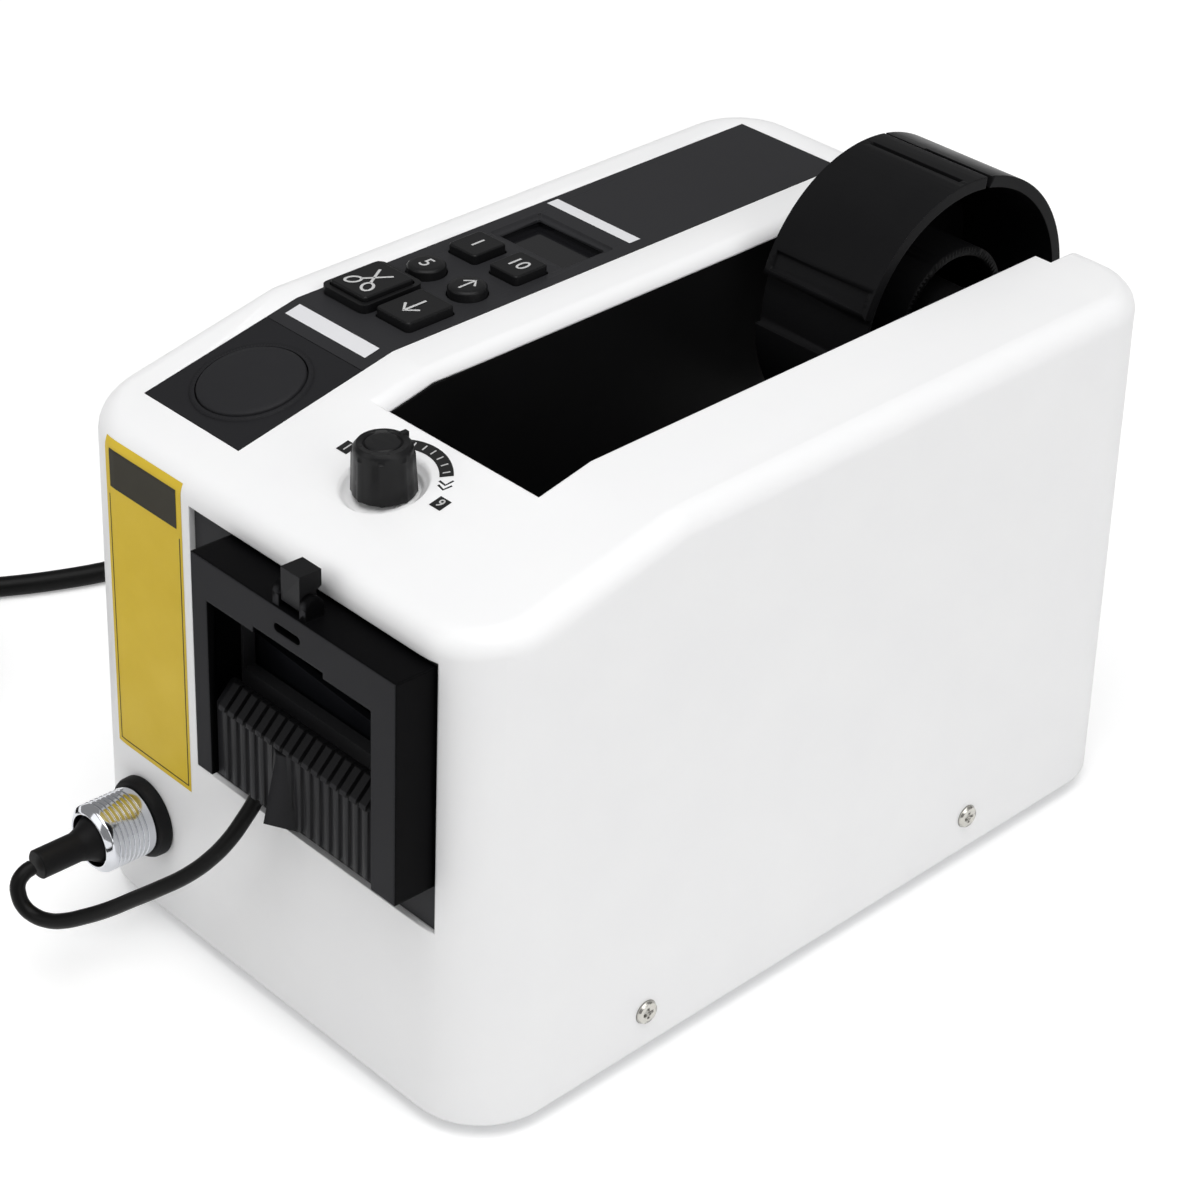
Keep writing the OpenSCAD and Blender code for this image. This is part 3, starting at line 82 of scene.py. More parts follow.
def aim_camera():
    azimuth, elevation, roll = (math.radians(a) for a in (CAMERA_AZIMUTH, CAMERA_ELEVATION, CAMERA_ROLL))
    look = Vector((-math.sin(azimuth) * math.cos(elevation), math.cos(azimuth) * math.cos(elevation),
                   -math.sin(elevation)))
    right = look.cross(Vector((0, 0, 1))).normalized()
    up = right.cross(look)
    right, up = (math.cos(roll) * right + math.sin(roll) * up,
                 math.cos(roll) * up - math.sin(roll) * right)
    lens = bpy.data.cameras.new("camera")
    lens.lens, lens.sensor_width, lens.clip_start, lens.clip_end = CAMERA_LENS, CAMERA_SENSOR, 0.05, 20
    camera = bpy.data.objects.new("camera", lens)
    turn = Matrix((right, up, -look)).transposed().to_4x4()
    camera.matrix_world = Matrix.Translation(CAMERA_AT) @ turn
    bpy.context.scene.collection.objects.link(camera)
    bpy.context.scene.camera = camera


# ---- finishes ----
def srgb(code):
    """Linear colour of an sRGB hex value."""
    parts = [int(code[i:i + 2], 16) / 255 for i in (1, 3, 5)]
    return [c / 12.92 if c <= 0.04045 else ((c + 0.055) / 1.055) ** 2.4 for c in parts] + [1]


def add(tree, kind, links=None, **settings):
    """Adds a node, with its settings, and its inputs given as numbers or as other nodes' outputs."""
    made = tree.nodes.new(kind)
    for key, value in settings.items():
        setattr(made, key, value)
    for key, value in (links or {}).items():
        socket = made.inputs[key]
        if isinstance(value, bpy.types.NodeSocket):
            tree.links.new(value, socket)
        else:
            socket.default_value = value
    return made


def new_material(name):
    material = bpy.data.materials.new(name)
    material.use_nodes = True
    material.node_tree.nodes.clear()
    return material, material.node_tree


# Colour sockets of the mix node, whose names repeat
MIX_A, MIX_B, MIX_RESULT = 6, 7, 2
# Roughness strays from its mean by this much downwards and upwards, over this range of the drift
ROUGH_LESS, ROUGH_MORE = 0.03, 0.04
DRIFT_LOW, DRIFT_HIGH = 0.3, 0.7
# Forward part of the normal at which the painted front highlight starts, and at which it is full
FRONT_HIGHLIGHT_START, FRONT_HIGHLIGHT_FULL = -0.6, -0.95


def moulded(name, colour, worn, roughness, grain, depth, edge, specular=0.5, metallic=0.0, spread=18,
            front=None):
    """A surface with a fine grain of the given pitch and depth, edges rounded to the light, and a slow drift
    of tone between colour and worn. Grain, depth, edge and spread are in millimetres. Faces that look
    forwards take the colour front, a painted highlight for the light that falls on that side."""
    material, tree = new_material(name)
    place = add(tree, "ShaderNodeTexCoord").outputs["Object"]
    drift = add(tree, "ShaderNodeTexNoise", {"Vector": place, "Scale": 1000 / spread, "Detail": 3})
    tone = add(tree, "ShaderNodeMix", {
        "Factor": drift.outputs["Fac"], MIX_A: srgb(colour), MIX_B: srgb(worn)}, data_type="RGBA")
    # Painted highlight: faces that look forwards are mixed towards the lighter front colour
    if front:
        normal = add(tree, "ShaderNodeTexCoord").outputs["Normal"]
        facing = add(tree, "ShaderNodeSeparateXYZ", {0: normal})
        share = add(tree, "ShaderNodeMapRange", {
            "Value": facing.outputs["Y"], "From Min": FRONT_HIGHLIGHT_START, "From Max": FRONT_HIGHLIGHT_FULL})
        tone = add(tree, "ShaderNodeMix", {
            "Factor": share.outputs["Result"], MIX_A: tone.outputs[MIX_RESULT], MIX_B: srgb(front)},
            data_type="RGBA")
    rough = add(tree, "ShaderNodeMapRange", {
        "Value": drift.outputs["Fac"], "From Min": DRIFT_LOW, "From Max": DRIFT_HIGH,
        "To Min": roughness - ROUGH_LESS, "To Max": roughness + ROUGH_MORE})
    grit = add(tree, "ShaderNodeTexNoise", {"Vector": place, "Scale": 1000 / grain, "Detail": 2})
    edges = add(tree, "ShaderNodeBevel", {"Radius": edge / 1000}, samples=4)
    bump = add(tree, "ShaderNodeBump", {
        "Strength": 1, "Distance": depth / 1000, "Height": grit.outputs["Fac"],
        "Normal": edges.outputs["Normal"]})
    shader = add(tree, "ShaderNodeBsdfPrincipled", {
        "Base Color": tone.outputs[MIX_RESULT], "Roughness": rough.outputs["Result"], "Metallic": metallic,
        "Normal": bump.outputs["Normal"], "Specular IOR Level": specular})
    add(tree, "ShaderNodeOutputMaterial", {"Surface": shader.outputs["BSDF"]})
    return material


# Near-white ABS with a fine spark-eroded skin: soft sheen, no sharp reflections
shell_abs = moulded("moulded_white_abs", "#f2f2f2", "#eeeeef", 0.42, 0.9, 0.004, 0.5)
# Black ABS of the bay: the same skin, darker and flatter
liner_abs = moulded("moulded_black_abs", "#09090a", "#0d0d0e", 0.55, 0.9, 0.004, 0.3, specular=0.12)
# Reel in polished-tool ABS: clear highlights on rims and ridges
reel_abs = moulded("polished_black_abs", "#141415", "#19191a", 0.32, 1.6, 0.002, 0.35, specular=0.05)
# Printed polycarbonate film with a fine matt emboss
panel_film = moulded("matt_black_polycarbonate_film", "#29292b", "#2d2d2f", 0.5, 0.5, 0.004, 0.2,
                     specular=0.12)
# The same film where it lies on the slope, coloured darker: painted shade for the dimmer light that the slope
# catches
slope_film_painted_shade = moulded("painted_shade_black_polycarbonate_film", "#1f1f21", "#232325", 0.5, 0.5, 0.004, 0.2,
                     specular=0.1)
# Keys in ABS with a semi-gloss skin that lights up along the bevels
key_abs = moulded("semigloss_black_abs", "#131314", "#171718", 0.34, 0.8, 0.002, 0.2, specular=0.18)
# Broad feed button, with the panel's own matt skin
button_abs = moulded("matt_black_abs", "#222224", "#262628", 0.5, 0.5, 0.004, 0.2, specular=0.12)
# Fluted knob in satin ABS
knob_abs = moulded("satin_black_abs", "#121213", "#171718", 0.34, 0.7, 0.003, 0.3, specular=0.22)
# Guard and apron in glass-filled nylon: polished sides, and faces that look forwards coloured lighter, a
# painted highlight for the light they catch from the front
guard_nylon = moulded("glass_filled_black_nylon", "#070708", "#0a0a0b", 0.45, 0.6, 0.006, 0.9, specular=0.025,
                      spread=9, front="#303032")
apron_nylon = moulded("glass_filled_black_nylon_ribbed", "#141415", "#19191a", 0.42, 0.6, 0.006, 0.25,
                      specular=0.1, spread=9, front="#202022")
# Powder-coated plate in the opening: grainy and matt
plate_coat = moulded("black_powder_coat", "#2d2d2f", "#313133", 0.6, 0.35, 0.01, 0.2, specular=0.12)
# Rubber of feet, ring and boot: matt with a slight bloom
rubber = moulded("black_moulded_rubber", "#0a0a0b", "#101011", 0.55, 0.5, 0.006, 0.3, specular=0.15)
# PVC of cable and cord: smooth, with a long soft highlight
cord_pvc = moulded("black_pvc_sheath", "#0b0b0b", "#0f0f0f", 0.38, 0.7, 0.003, 0.1, specular=0.12)
# Ground rubber of the rollers
roller_rubber = moulded("ground_rubber", "#2c2c2e", "#363638", 0.7, 0.3, 0.012, 0.2, specular=0.3)
# Natural nylon gear
gear_nylon = moulded("natural_nylon", "#e6e3d8", "#dcd8cb", 0.45, 0.8, 0.003, 0.15)
# Chrome over turned brass: near mirror
chrome = moulded("polished_chrome_plate", "#dadce0", "#cfd1d6", 0.08, 1.2, 0.0003, 0.1, metallic=1.0)
# Ground steel of shafts, pins and spring
ground_steel = moulded("ground_steel", "#c3c5c8", "#b4b6ba", 0.28, 0.25, 0.002, 0.1, metallic=1.0, spread=5)
# Cutter steel coloured near black: painted shade for the dark inside the machine behind the mouth
blade_steel_painted_shade = moulded("painted_shade_blade_steel", "#15161a", "#1b1c20", 0.4, 0.3, 0.002, 0.1, specular=0.2, spread=6)
# Nickel-plated screws
nickel = moulded("nickel_plated_steel", "#c8c6c0", "#b7b5ae", 0.25, 0.5, 0.001, 0.1, metallic=1.0, spread=4)
# Zinc-plated sheet with its faint bluish spangle
zinc = moulded("zinc_plated_sheet", "#b6babf", "#a4a9b0", 0.38, 1.4, 0.002, 0.15, metallic=1.0, spread=7)
# Sintered bronze of bushes and pinion
bronze = moulded("sintered_bronze", "#b8894a", "#9f7540", 0.45, 0.3, 0.004, 0.1, metallic=1.0, spread=3)
# Lacquered circuit board
board = moulded("green_lacquered_laminate", "#123f22", "#1a5130", 0.35, 2.0, 0.01, 0.1, spread=3)
# Varnished transformer core
core = moulded("varnished_lamination_stack", "#4a4440", "#38332f", 0.5, 0.5, 0.02, 0.2, metallic=0.3)
# White screen print on the keys: opaque, matt, a little uneven
print_white = moulded("white_screen_print", "#c6c6c6", "#bababa", 0.6, 0.4, 0.002, 0.05, specular=0.3)
print_black = moulded("black_screen_print", "#141414", "#1b1b1b", 0.5, 0.4, 0.002, 0.05, specular=0.3)
# Vinyl labels with a satin laminate
label_yellow = moulded("yellow_vinyl_label", "#e0c23e", "#d1b231", 0.45, 3.0, 0.003, 0.05, specular=0.15,
                       spread=12)
label_dark = moulded("dark_label_print", "#2b2718", "#242013", 0.5, 3.0, 0.003, 0.05, specular=0.2)
label_white = moulded("white_vinyl_label", "#dcdcde", "#d5d5d8", 0.5, 3.0, 0.003, 0.05, specular=0.1)
# Smoked acrylic window: the dark of the display with a clear gloss over it
window_acrylic = moulded("smoked_acrylic", "#141416", "#171719", 0.12, 3.0, 0.0006, 0.1, specular=0.3,
                         spread=30)

FINISH = {
    "shell_white": shell_abs, "liner_black": liner_abs, "reel_plastic": reel_abs,
    "panel_black": panel_film, "key_plastic": key_abs, "bezel_grey": key_abs,
    "smoked_window": window_acrylic, "knob_black": knob_abs, "guard_black": guard_nylon,
    "plate_black": plate_coat, "foot_rubber": rubber, "cable_rubber": cord_pvc,
    "roller_rubber": roller_rubber, "plug_chrome": chrome, "turned_steel": ground_steel,
    "screw_steel": nickel, "zinc_steel": zinc, "bush_bronze": bronze,
    "gear_nylon": gear_nylon, "circuit_board": board, "transformer_core": core,
}
SLOT = {s["node"]: s["material_slot"] for s in frame["record"]["subparts"]}
BODY = {n: body for body, members in frame["record"]["behaviour"]["bodies"].items() for n in members}
# Nodes whose finish differs from that of their slot
OWN_FINISH = {
    "connector_ring": rubber, "plug_boot": rubber, "strain_relief": rubber, "rubber_feet": rubber,
    "button_plate": slope_film_painted_shade, "feed_button": button_abs, "guard_apron": apron_nylon,
    "guard_latch": apron_nylon, "reel_hub": liner_abs, "moving_blade": blade_steel_painted_shade,
    "fixed_blade": blade_steel_painted_shade, "cutter_bracket": blade_steel_painted_shade,
}


def finish_of(node):
    return OWN_FINISH.get(node) or FINISH[SLOT[node]]


# ---- making pieces ----
# Edges sharper than this angle stay sharp
CREASE = math.radians(28)
# Points closer than this are one: in millimetre shapes, and in copies of nodes, which are in metres
MERGE_MM, MERGE_M = 0.001, 0.000001


def finish_piece(name, mesh, material, body, slot=None, stands_for=()):
    piece = bpy.data.objects.new(name, mesh)
    bpy.context.scene.collection.objects.link(piece)
    mesh.materials.clear()
    mesh.materials.append(material)
    mesh.shade_smooth()
    mesh.set_sharp_from_angle(angle=CREASE)
    weigh = piece.modifiers.new("even_normals", "WEIGHTED_NORMAL")
    weigh.keep_sharp = True
    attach(piece, body)
    if stands_for:
        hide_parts(*stands_for)
    return piece


def finish_bmesh(name, bm, material, body, place=PLACE, **more):
    """Closes seams, points faces outwards and moves the millimetre shape to its place."""
    bmesh.ops.remove_doubles(bm, verts=bm.verts, dist=MERGE_MM)
    bmesh.ops.recalc_face_normals(bm, faces=bm.faces)
    bm.transform(place)
    mesh = bpy.data.meshes.new(name)
    bm.to_mesh(mesh)
    bm.free()
    return finish_piece(name, mesh, material, body, **more)


def smooth_copy(node):
    """The node's own shape with its points merged, so that its curves shade smoothly."""
    bm = bmesh.new()
    bm.from_mesh(nodes[node].data)
    bmesh.ops.remove_doubles(bm, verts=bm.verts, dist=MERGE_M)
    mesh = bpy.data.meshes.new(node + "_skin")
    bm.to_mesh(mesh)
    bm.free()
    return finish_piece(node + "_skin", mesh, finish_of(node), BODY[node], slot=SLOT[node], stands_for=[node])


DOWN = Vector((0, 0, -1))
BACK = Vector((0, 1, 0))
# Rays that look for a surface start this far before the flat patch, in metres
RAY_START = 0.01
# Surfaces of the nodes that carry print or labels, made once each
surfaces = {}


def lay_on(bm, node, down, lift):
    """Moves each point along down (row frame) until it stands lift millimetres over the node's surface."""
    if node not in surfaces:
        bm_node = bmesh.new()
        bm_node.from_mesh(nodes[node].data)
        surfaces[node] = BVHTree.FromBMesh(bm_node)
        bm_node.free()
    for v in bm.verts:
        hit = surfaces[node].ray_cast(v.co - RAY_START * down, down)[0]
        if hit:
            v.co = hit - down * lift / 1000


def sheet_on(name, outline, node, down, material, place, body, lift=0.06, cells=14):
    """A thin printed or stuck-on patch: a rectangle (x0, y0, x1, y1) in place's frame, laid on a node."""
    x0, y0, x1, y1 = outline
    bm = bmesh.new()
    bmesh.ops.create_grid(bm, x_segments=cells, y_segments=cells, size=0.5)
    bm.transform(Matrix.Translation(((x0 + x1) / 2, (y0 + y1) / 2, 0))
                 @ Matrix.Diagonal((x1 - x0, y1 - y0, 1, 1)))
    bm.transform(place)
    lay_on(bm, node, down, lift)
    mesh = bpy.data.meshes.new(name)
    bm.to_mesh(mesh)
    bm.free()
    return finish_piece(name, mesh, material, body)


def strokes(name, lines, width, material, place, body, height=0.05):
    """Printed lines of one width, each a list of points and whether it closes to a ring."""
    drawing = bpy.data.curves.new(name, "CURVE")
    drawing.dimensions = "3D"
    drawing.bevel_depth = width / 2
    drawing.bevel_resolution = 1
    drawing.use_fill_caps = True
    for points, closed in lines:
        spline = drawing.splines.new("POLY")
        spline.points.add(len(points) - 1)
        for point, (x, y) in zip(spline.points, points):
            point.co = (x, y, 0, 1)
        spline.use_cyclic_u = closed
    return flat_print(name, drawing, 2 * height / width, material, place, body)


def flat_print(name, drawing, flatten, material, place, body):
    """A drawn curve or text made a mesh, flattened by the given factor and set in its place."""
    holder = bpy.data.objects.new(name + "_drawing", drawing)
    bpy.context.scene.collection.objects.link(holder)
    bpy.context.view_layer.update()
    mesh = bpy.data.meshes.new_from_object(holder.evaluated_get(bpy.context.evaluated_depsgraph_get()))
    bpy.data.objects.remove(holder)
    mesh.name = name
    bm = bmesh.new()
    bm.from_mesh(mesh)
    bm.transform(place @ Matrix.Diagonal((1, 1, flatten, 1)))
    bm.to_mesh(mesh)
    bm.free()
    return finish_piece(name, mesh, material, body)


def numeral(name, text, size, material, place, body):
    """A plain printed number, centred."""
    drawing = bpy.data.curves.new(name, "FONT")
    drawing.body = text
    drawing.size = size
    drawing.align_x = drawing.align_y = "CENTER"
    # half the print's thickness, and what its strokes are widened by
    drawing.extrude = 0.03
    drawing.offset = 0.02
    return flat_print(name, drawing, 1, material, place, body)


# ---- cords ----
def cord_curve(name, points, diameter, body, stands_for):
    """A round cord through the points, all in millimetres."""
    line = bpy.data.curves.new(name, "CURVE")
    line.dimensions = "3D"
    line.bevel_depth = diameter / 2000
    line.bevel_resolution = 5
    line.resolution_u = 4
    line.use_fill_caps = True
    spline = line.splines.new("BEZIER")
    spline.bezier_points.add(len(points) - 1)
    for knot, point in zip(spline.bezier_points, points):
        knot.co = PLACE @ Vector(point)
        knot.handle_left_type = knot.handle_right_type = "AUTO"
    cord = bpy.data.objects.new(name, line)
    bpy.context.scene.collection.objects.link(cord)
    line.materials.append(cord_pvc)
    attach(cord, body)
    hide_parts(*stands_for)
    return cord


# Signal cable: out of the plug's boot, down in a loop and up under the guard
CABLE_D, CABLE_LENGTH = 3.6, 92
CABLE_ROUTE = [
    (-44.5, -30.8, 25.5), (-44.5, -33, 25), (-44.2, -35, 23.4), (-43.2, -35.8, 21), (-41.5, -35.8, 18.8),
    (-38.8, -35, 17.4), (-35, -33.6, 17.4), (-31.2, -32, 18.8), (-27, -29.8, 21.2), (-21.4, -27, 25),
    (-15, -24, 30.2), (-8.8, -21, 35.3), (-3.4, -17.5, 40.1), (0.6, -14, 45), (3.2, -10.4, 50), (4, -7, 54),
    (4, -4, 57), (4, -2, 60), (4, -1.05, 62.5), (4, -0.97, 63.95)]
# Power cord: from the strain relief at the back, along the floor past the left side, to the coil
CORD_D = 5.6
CORD_ROUTE = [
    (-42, 239, 18), (-42, 246, 18), (-42.5, 253, 17), (-45, 260, 14.5), (-50, 267, 11), (-57, 273, 7),
    (-66, 277, 3), (-77, 279, 0.3), (-88, 278, -1), (-99, 275, -1.2), (-109, 270, -1.2), (-118, 263, -1.2),
    (-126, 254, -1.2), (-133, 243, -1.2), (-139, 231, -1.2), (-144, 218, -1.2), (-149, 204, -1.2),
    (-153, 189, -1.2), (-156, 174, -1.2), (-158.5, 158, -1.2), (-160.5, 142, -1.2), (-162, 126, -1.2),
    (-163.6, 110, -1.2), (-166, 94, -1.2), (-169.4, 79, -1.2), (-175, 65, -1.2), (-183, 50.4, -1.2),
    (-192, 37, -1.2), (-198, 29, -1.2), (-204, 21, -1.2)]
# Stored coil: in on the floor, up half way, and out on top
COIL_R, COIL_PITCH, COIL_TURNS = 38, 6.2, 5.25
# Share of a turn over which it climbs, and points in a turn
COIL_CLIMB, COIL_STEPS = 0.5, 24


def coil_points():
    end = Vector(CORD_ROUTE[-1])
    run = (end - Vector(CORD_ROUTE[-2])).normalized()
    start = math.atan2(run.y, run.x) - math.pi / 2
    centre = end + CORD_D * run - COIL_R * Vector((math.cos(start), math.sin(start), 0))
    points = []
    steps = round(COIL_STEPS * COIL_TURNS)
    for i in range(steps + 1):
        t = COIL_TURNS * i / steps
        rise = min(max((t - COIL_TURNS / 2) / COIL_CLIMB + 0.5, 0), 1)
        radius = COIL_R - COIL_PITCH * min(t, COIL_TURNS - t)
        angle = start + 2 * math.pi * t
        points.append(centre + Vector((radius * math.cos(angle), radius * math.sin(angle),
                                       COIL_PITCH * rise * rise * (3 - 2 * rise))))
    points.append(points[-1] + CORD_D * (points[-1] - points[-2]).normalized())
    return points


def lay_cords():
    cable = cord_curve("sensor_cable_run", CABLE_ROUTE, CABLE_D, "machine", ["sensor_cable"])
    plug = smooth_copy("mains_plug")
    route = [Vector(p) for p in CORD_ROUTE] + coil_points()
    mains = cord_curve("mains_cord_run", route, CORD_D, "machine", ["mains_cord", "cord_coil"])


# ---- control panel ----
PANEL_X, PANEL_FRONT = -40.6, 17.2
# Keys stand in two columns either side of the panel's middle, in three rows
KEY_X, KEY_ROW, KEY_STEP = 7.1, 57.3, 15.4
KEY_H = 2.3
CUT_KEY_SIZE, CUT_KEY_SHIFT, CUT_KEY_H = (12.6, 14.6), -0.7, KEY_H + 1
DOWN_KEY_SIZE, UNIT_KEY_SIZE = (11.4, 13.6), (9.4, 10)
# Caps reach this far down into their holes
KEY_DEPTH = 2
CORNER_R, RIM_R = 1.0, 0.55
# The top of a cap is drawn in from its rim, and sunk
TOP_INSET, TOP_SINK = 0.45, 0.08
# Line width of the printed legends, and of the finer one on the up key
LEGEND_W, FINE_LEGEND_W = 0.72, 0.6
# Round keys are a little higher than the square ones
ROUND_KEY_RISE = 0.08


def key_place(col, row, shift=0.0):
    """Frame in the middle of a key, on the panel."""
    return deck(PANEL_X + col * KEY_X + shift, PANEL_FRONT + KEY_ROW + row * KEY_STEP)


def ring_points(x, y, rx, ry, turn, count=20):
    """Points of an ellipse about (x, y), turned by an angle."""
    points = []
    for i in range(count):
        a = 2 * math.pi * i / count
        px, py = rx * math.cos(a), ry * math.sin(a)
        points.append((x + px * math.cos(turn) - py * math.sin(turn),
                       y + px * math.sin(turn) + py * math.cos(turn)))
    return points


def key_cap(name, size, height, place, body, node):
    """Cap with a soft upright corner, a bevelled rim and a top drawn in by a hair."""
    bm = bmesh.new()
    bmesh.ops.create_cube(bm, size=1)
    bm.transform(Matrix.Translation((0, 0, (height - KEY_DEPTH) / 2))
                 @ Matrix.Diagonal((size[0], size[1], height + KEY_DEPTH, 1)))
    upright = [e for e in bm.edges if abs(e.verts[0].co.z - e.verts[1].co.z) > 1]
    bmesh.ops.bevel(bm, geom=upright, offset=CORNER_R, segments=4, profile=0.5, affect="EDGES", material=-1)
    top = [f for f in bm.faces if f.normal.z > 0.9]
    rim = [e for e in bm.edges if len([f for f in e.link_faces if f in top]) == 1]
    bmesh.ops.bevel(bm, geom=rim, offset=RIM_R, segments=3, profile=0.5, affect="EDGES", material=-1)
    top = [f for f in bm.faces if f.normal.z > 0.99]
    bmesh.ops.inset_region(bm, faces=top, thickness=TOP_INSET, depth=-TOP_SINK)
    return finish_bmesh(name, bm, key_abs, body, place=place, slot="key_plastic", stands_for=[node])


def key_top(col, row, height=KEY_H, shift=0.0):
    """Frame in the middle of a key's top."""
    return key_place(col, row, shift) @ Matrix.Translation((0, 0, height))


def legends():
    """Scissors, arrows and plain numbers on the keys."""
    scissors = [
        (ring_points(-2.6, -3.3, 1.35, 1.9, -0.6), True), (ring_points(2.4, -3.3, 1.35, 1.9, 0.6), True),
        ([(-1.7, -1.7), (2.6, 4.2)], False), ([(1.5, -1.7), (-2.2, 4.2)], False)]
    falling = [([(0, 3.3), (0, -3.3)], False), ([(-2.5, -0.6), (0, -3.3), (2.5, -0.6)], False)]
    rising = [([(0, -2.6), (0, 2.6)], False), ([(-1.9, 0.5), (0, 2.6), (1.9, 0.5)], False)]
    round_h = KEY_H + ROUND_KEY_RISE
    strokes("cut_key_print", scissors, LEGEND_W, print_white, key_top(-1, 0, CUT_KEY_H, CUT_KEY_SHIFT),
            "cut_button")
    strokes("down_key_print", falling, LEGEND_W, print_white, key_top(1, 0), "down_button")
    strokes("up_key_print", rising, FINE_LEGEND_W, print_white, key_top(1, 1, round_h), "up_button")
    numeral("preset_key_print", "5", 5.4, print_white, key_top(-1, 1, round_h), "preset_button")
    numeral("unit_key_a_print", "1", 5.6, print_white, key_top(-1, 2), "unit_button_a")
    numeral("unit_key_b_print", "10", 5.6, print_white, key_top(1, 2), "unit_button_b")


def square_keys():
    """Caps of the four keys with corners; the round ones keep the node's own shape."""
    key_cap("cut_key_cap", CUT_KEY_SIZE, CUT_KEY_H, key_place(-1, 0, CUT_KEY_SHIFT), "cut_button", "cut_key")
    key_cap("down_key_cap", DOWN_KEY_SIZE, KEY_H, key_place(1, 0), "down_button", "down_key")
    key_cap("unit_key_a_cap", UNIT_KEY_SIZE, KEY_H, key_place(-1, 2), "unit_button_a", "unit_key_a")
    key_cap("unit_key_b_cap", UNIT_KEY_SIZE, KEY_H, key_place(1, 2), "unit_button_b", "unit_key_b")


def panel_labels():
    """The two bare white strips across the panel."""
    flat = PLACE @ Matrix.Translation((0, 0, TOP_H))
    for name, area in (("front", (-54.8, 54.6, -26.9, 58.8)), ("rear", (-56, 134.6, -27.5, 138))):
        sheet_on("panel_strip_" + name, area, "control_panel", DOWN, label_white, flat, "machine")


# Window of the display: middle, width, length, height of its rim's top, and thickness
WINDOW_Y, WINDOW_W, WINDOW_L, GLASS_Z, GLASS_T = 122, 24.7, 15, 130.5, 1.5
TRAY_RIM, TRAY_DRAFT, TRAY_DEPTH = 1.0, 0.12, 1.15


def display_tray():
    """Window moulded as a shallow tray, so that the display lies deep under the panel's opening."""
    bm = bmesh.new()
    bmesh.ops.create_cube(bm, size=1)
    bm.transform(Matrix.Translation((PANEL_X, WINDOW_Y, GLASS_Z - GLASS_T / 2))
                 @ Matrix.Diagonal((WINDOW_W, WINDOW_L, GLASS_T, 1)))
    top = [f for f in bm.faces if f.normal.z > 0.9]
    bmesh.ops.inset_region(bm, faces=top, thickness=TRAY_RIM, depth=0)
    bmesh.ops.inset_region(bm, faces=top, thickness=TRAY_DRAFT, depth=-TRAY_DEPTH)
    finish_bmesh("display_tray", bm, window_acrylic, "machine", slot="smoked_window",
                 stands_for=["display_window"])


# ---- connector ----
# The plug's frame: its own axis points out of the front
PLUG = FRONT @ Matrix.Translation((-44.5, 0, 24.4)) @ Matrix.Rotation(math.radians(90), 4, "X")
PLUG_R, PLUG_L, TAIL_R, TAIL_L = 8.3, 13, 5.7, 1.2
# Thickness and bore of the ring that the plug sits in, and depth of the plug's own bore
RING_T, RING_BORE_R, BORE_DEPTH = 3.4, 6.1, 5.95
GROOVES, GROOVE_START, GROOVE_PITCH, GROOVE_DEPTH = 7, 2.4, 1.3, 0.28
# Half widths of a groove at its mouth and at its bottom
GROOVE_MOUTH, GROOVE_BOTTOM = 0.25, 0.08
TURN_STEPS = 96


def turned(name, profile, material, slot, node):
    """A profile of (radius, height), spun about the plug's axis to a closed solid."""
    bm = bmesh.new()
    points = [bm.verts.new((r, 0, z)) for r, z in profile]
    edges = [bm.edges.new((a, b)) for a, b in zip(points, points[1:])]
    bmesh.ops.spin(bm, geom=points + edges, cent=(0, 0, 0), axis=(0, 0, 1), angle=2 * math.pi,
                   steps=TURN_STEPS, use_merge=True)
    return finish_bmesh(name, bm, material, "machine", place=PLUG, slot=slot, stands_for=[node])


def connector():
    """Chromed barrel with fine grooves and a rounded rim, in a soft collar. The collar ends inside the
    front's wall, since its sleeve and flange behind the wall are never seen."""
    end = RING_T + PLUG_L
    floor_r = PLUG_R - GROOVE_DEPTH
    barrel = [(0, -TAIL_L), (TAIL_R, -TAIL_L), (TAIL_R, RING_T), (PLUG_R - 0.3, RING_T),
              (PLUG_R, RING_T + 0.3)]
    for i in range(GROOVES):
        z = RING_T + GROOVE_START + GROOVE_PITCH * i
        barrel += [(PLUG_R, z - GROOVE_MOUTH), (floor_r, z - GROOVE_BOTTOM), (floor_r, z + GROOVE_BOTTOM),
                   (PLUG_R, z + GROOVE_MOUTH)]
    barrel += [(PLUG_R, end - 1.5), (PLUG_R - 0.25, end - 0.95), (PLUG_R - 1.3, end - 0.12),
               (PLUG_R - 1.6, end), (PLUG_R - 1.9, end - 0.12), (PLUG_R - 2.1, end - 0.6),
               (PLUG_R - 2.1, end - BORE_DEPTH), (0, end - BORE_DEPTH)]
    turned("plug_barrel", barrel, chrome, "plug_chrome", "sensor_plug")
    collar = [(RING_BORE_R, -1.45), (RING_BORE_R, 0.3), (6.0, RING_T - 0.05), (PLUG_R + 0.5, RING_T - 0.05),
              (PLUG_R + 1.1, RING_T - 0.45), (PLUG_R + 1.45, RING_T - 1.2), (PLUG_R + 1.5, 0.4),
              (PLUG_R + 1.3, 0.08), (PLUG_R - 1, 0.08), (PLUG_R - 1, -2.7), (RING_BORE_R, -2.7),
              (RING_BORE_R, -1.45)]
    turned("connector_collar", collar, rubber, SLOT["connector_ring"], "connector_ring")


# ---- knob surround ----
KNOB = (10, 29.2)
# Radii in millimetres and angles in degrees about the knob; half span and half height of an arrow head
BAND_RADII, BAND_START, BAND_END, BAND_STEPS, BAND_LIFT = (11.6, 14.6), 46, 116, 28, 0.07
TICK_RADII, TICKS, TICK_START, TICK_STEP, TICK_LIFT = (12.3, 13.9), 6, 52, 11.6, 0.08
CHEVRON_R, CHEVRON_START, CHEVRON_STEP, CHEVRON_SPAN, CHEVRON_H = 13.2, 37, 6.4, 1.5, 0.7
# Half width of the dark square under each number, and the number's height and lift
MARK, NUMBER_H, NUMBER_LIFT = 1.7, 3.2, 0.1


